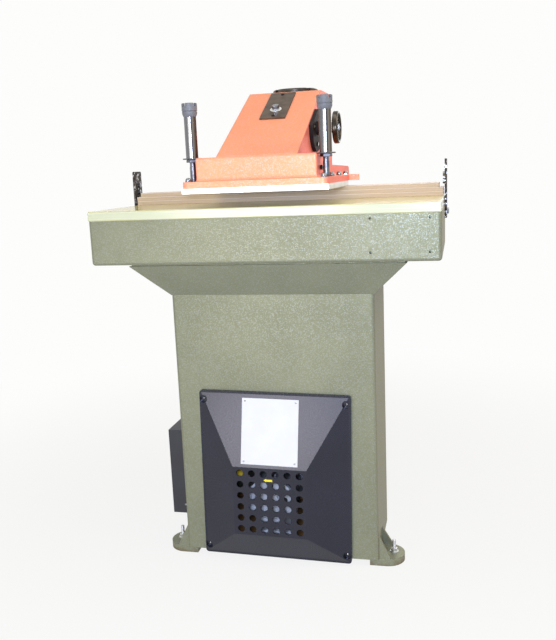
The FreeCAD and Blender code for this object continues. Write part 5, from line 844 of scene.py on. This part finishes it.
def studio_world():
    """Even soft light from all round, and a pale background where the camera or a mirror sees it."""
    world = bpy.data.worlds.new("pale_studio")
    world.use_nodes = True
    tree = world.node_tree
    tree.nodes.clear()
    soft = add(tree, "ShaderNodeBackground", {"Color": "#f7f2e2", "Strength": 0.22})
    white = add(tree, "ShaderNodeBackground", {"Color": BACKGROUND_WHITE, "Strength": 1.0})
    blend = add(tree, "ShaderNodeMixShader", {0: seen_directly(tree), 1: soft, 2: white})
    add(tree, "ShaderNodeOutputWorld", {"Surface": blend})
    bpy.context.scene.world = world


def soft_lamp(name, at, aim, width, watts, tone="#ffffff"):
    """A square soft box that faces a point of the press and isn't seen itself, in metres."""
    lamp = bpy.data.lights.new(name, "AREA")
    lamp.shape = "SQUARE"
    lamp.size = width
    lamp.energy = watts
    lamp.color = linear(tone)[:3]
    holder = shown(name, lamp)
    holder.location = at
    holder.rotation_euler = (Vector(aim) - Vector(at)).to_track_quat("-Z", "Y").to_euler()
    holder.visible_camera = False


def photo_camera():
    """The camera at the photograph's place, angle and focal length."""
    yaw, pitch, roll = 0.232471, 0.190530, -0.042131
    focal_px, frame_high_px = 779.63, 640
    stands_at_mm = Vector((490.23, -2437.25, 1089.04))
    ahead = Vector((-math.sin(yaw) * math.cos(pitch), math.cos(yaw) * math.cos(pitch), -math.sin(pitch)))
    right = Vector((math.cos(yaw), math.sin(yaw), 0))
    up = right.cross(ahead)
    turned_right = right * math.cos(roll) + up * math.sin(roll)
    turned_up = up * math.cos(roll) - right * math.sin(roll)
    lens = bpy.data.cameras.new("photo_camera")
    lens.sensor_width = 36
    lens.lens = lens.sensor_width * focal_px / frame_high_px
    camera = shown("photo_camera", lens)
    axes = Matrix((turned_right, turned_up, -ahead)).transposed().to_4x4()
    camera.matrix_world = Matrix.Translation(stands_at_mm * MM) @ axes
    bpy.context.scene.camera = camera


studio_floor()
studio_world()
soft_lamp("front_left_soft_box", (-0.70, -3.4, 0.60), (0, -0.4, 0.60), 1.0, 28, "#fff9f0")
soft_lamp("overhead_soft_box", (0.0, -1.0, 3.4), (0, -0.2, 0.9), 2.4, 28, "#fff4e4")
soft_lamp("camera_flash", (0.42, -2.46, 1.13), (0, -0.4, 0.75), 0.16, 38, "#c6d6ff")
soft_lamp("high_right_soft_box", (2.2, -0.7, 2.6), (0, -0.2, 1.0), 1.4, 32, "#fff4e4")
soft_lamp("left_soft_box", (-3.2, -0.2, 1.8), (0, 0, 0.7), 2.2, 8)
soft_lamp("rear_soft_box", (0.6, 3.2, 2.2), (0, 0, 0.7), 2.4, 28)
photo_camera()
bpy.context.scene.view_settings.view_transform = "Standard"
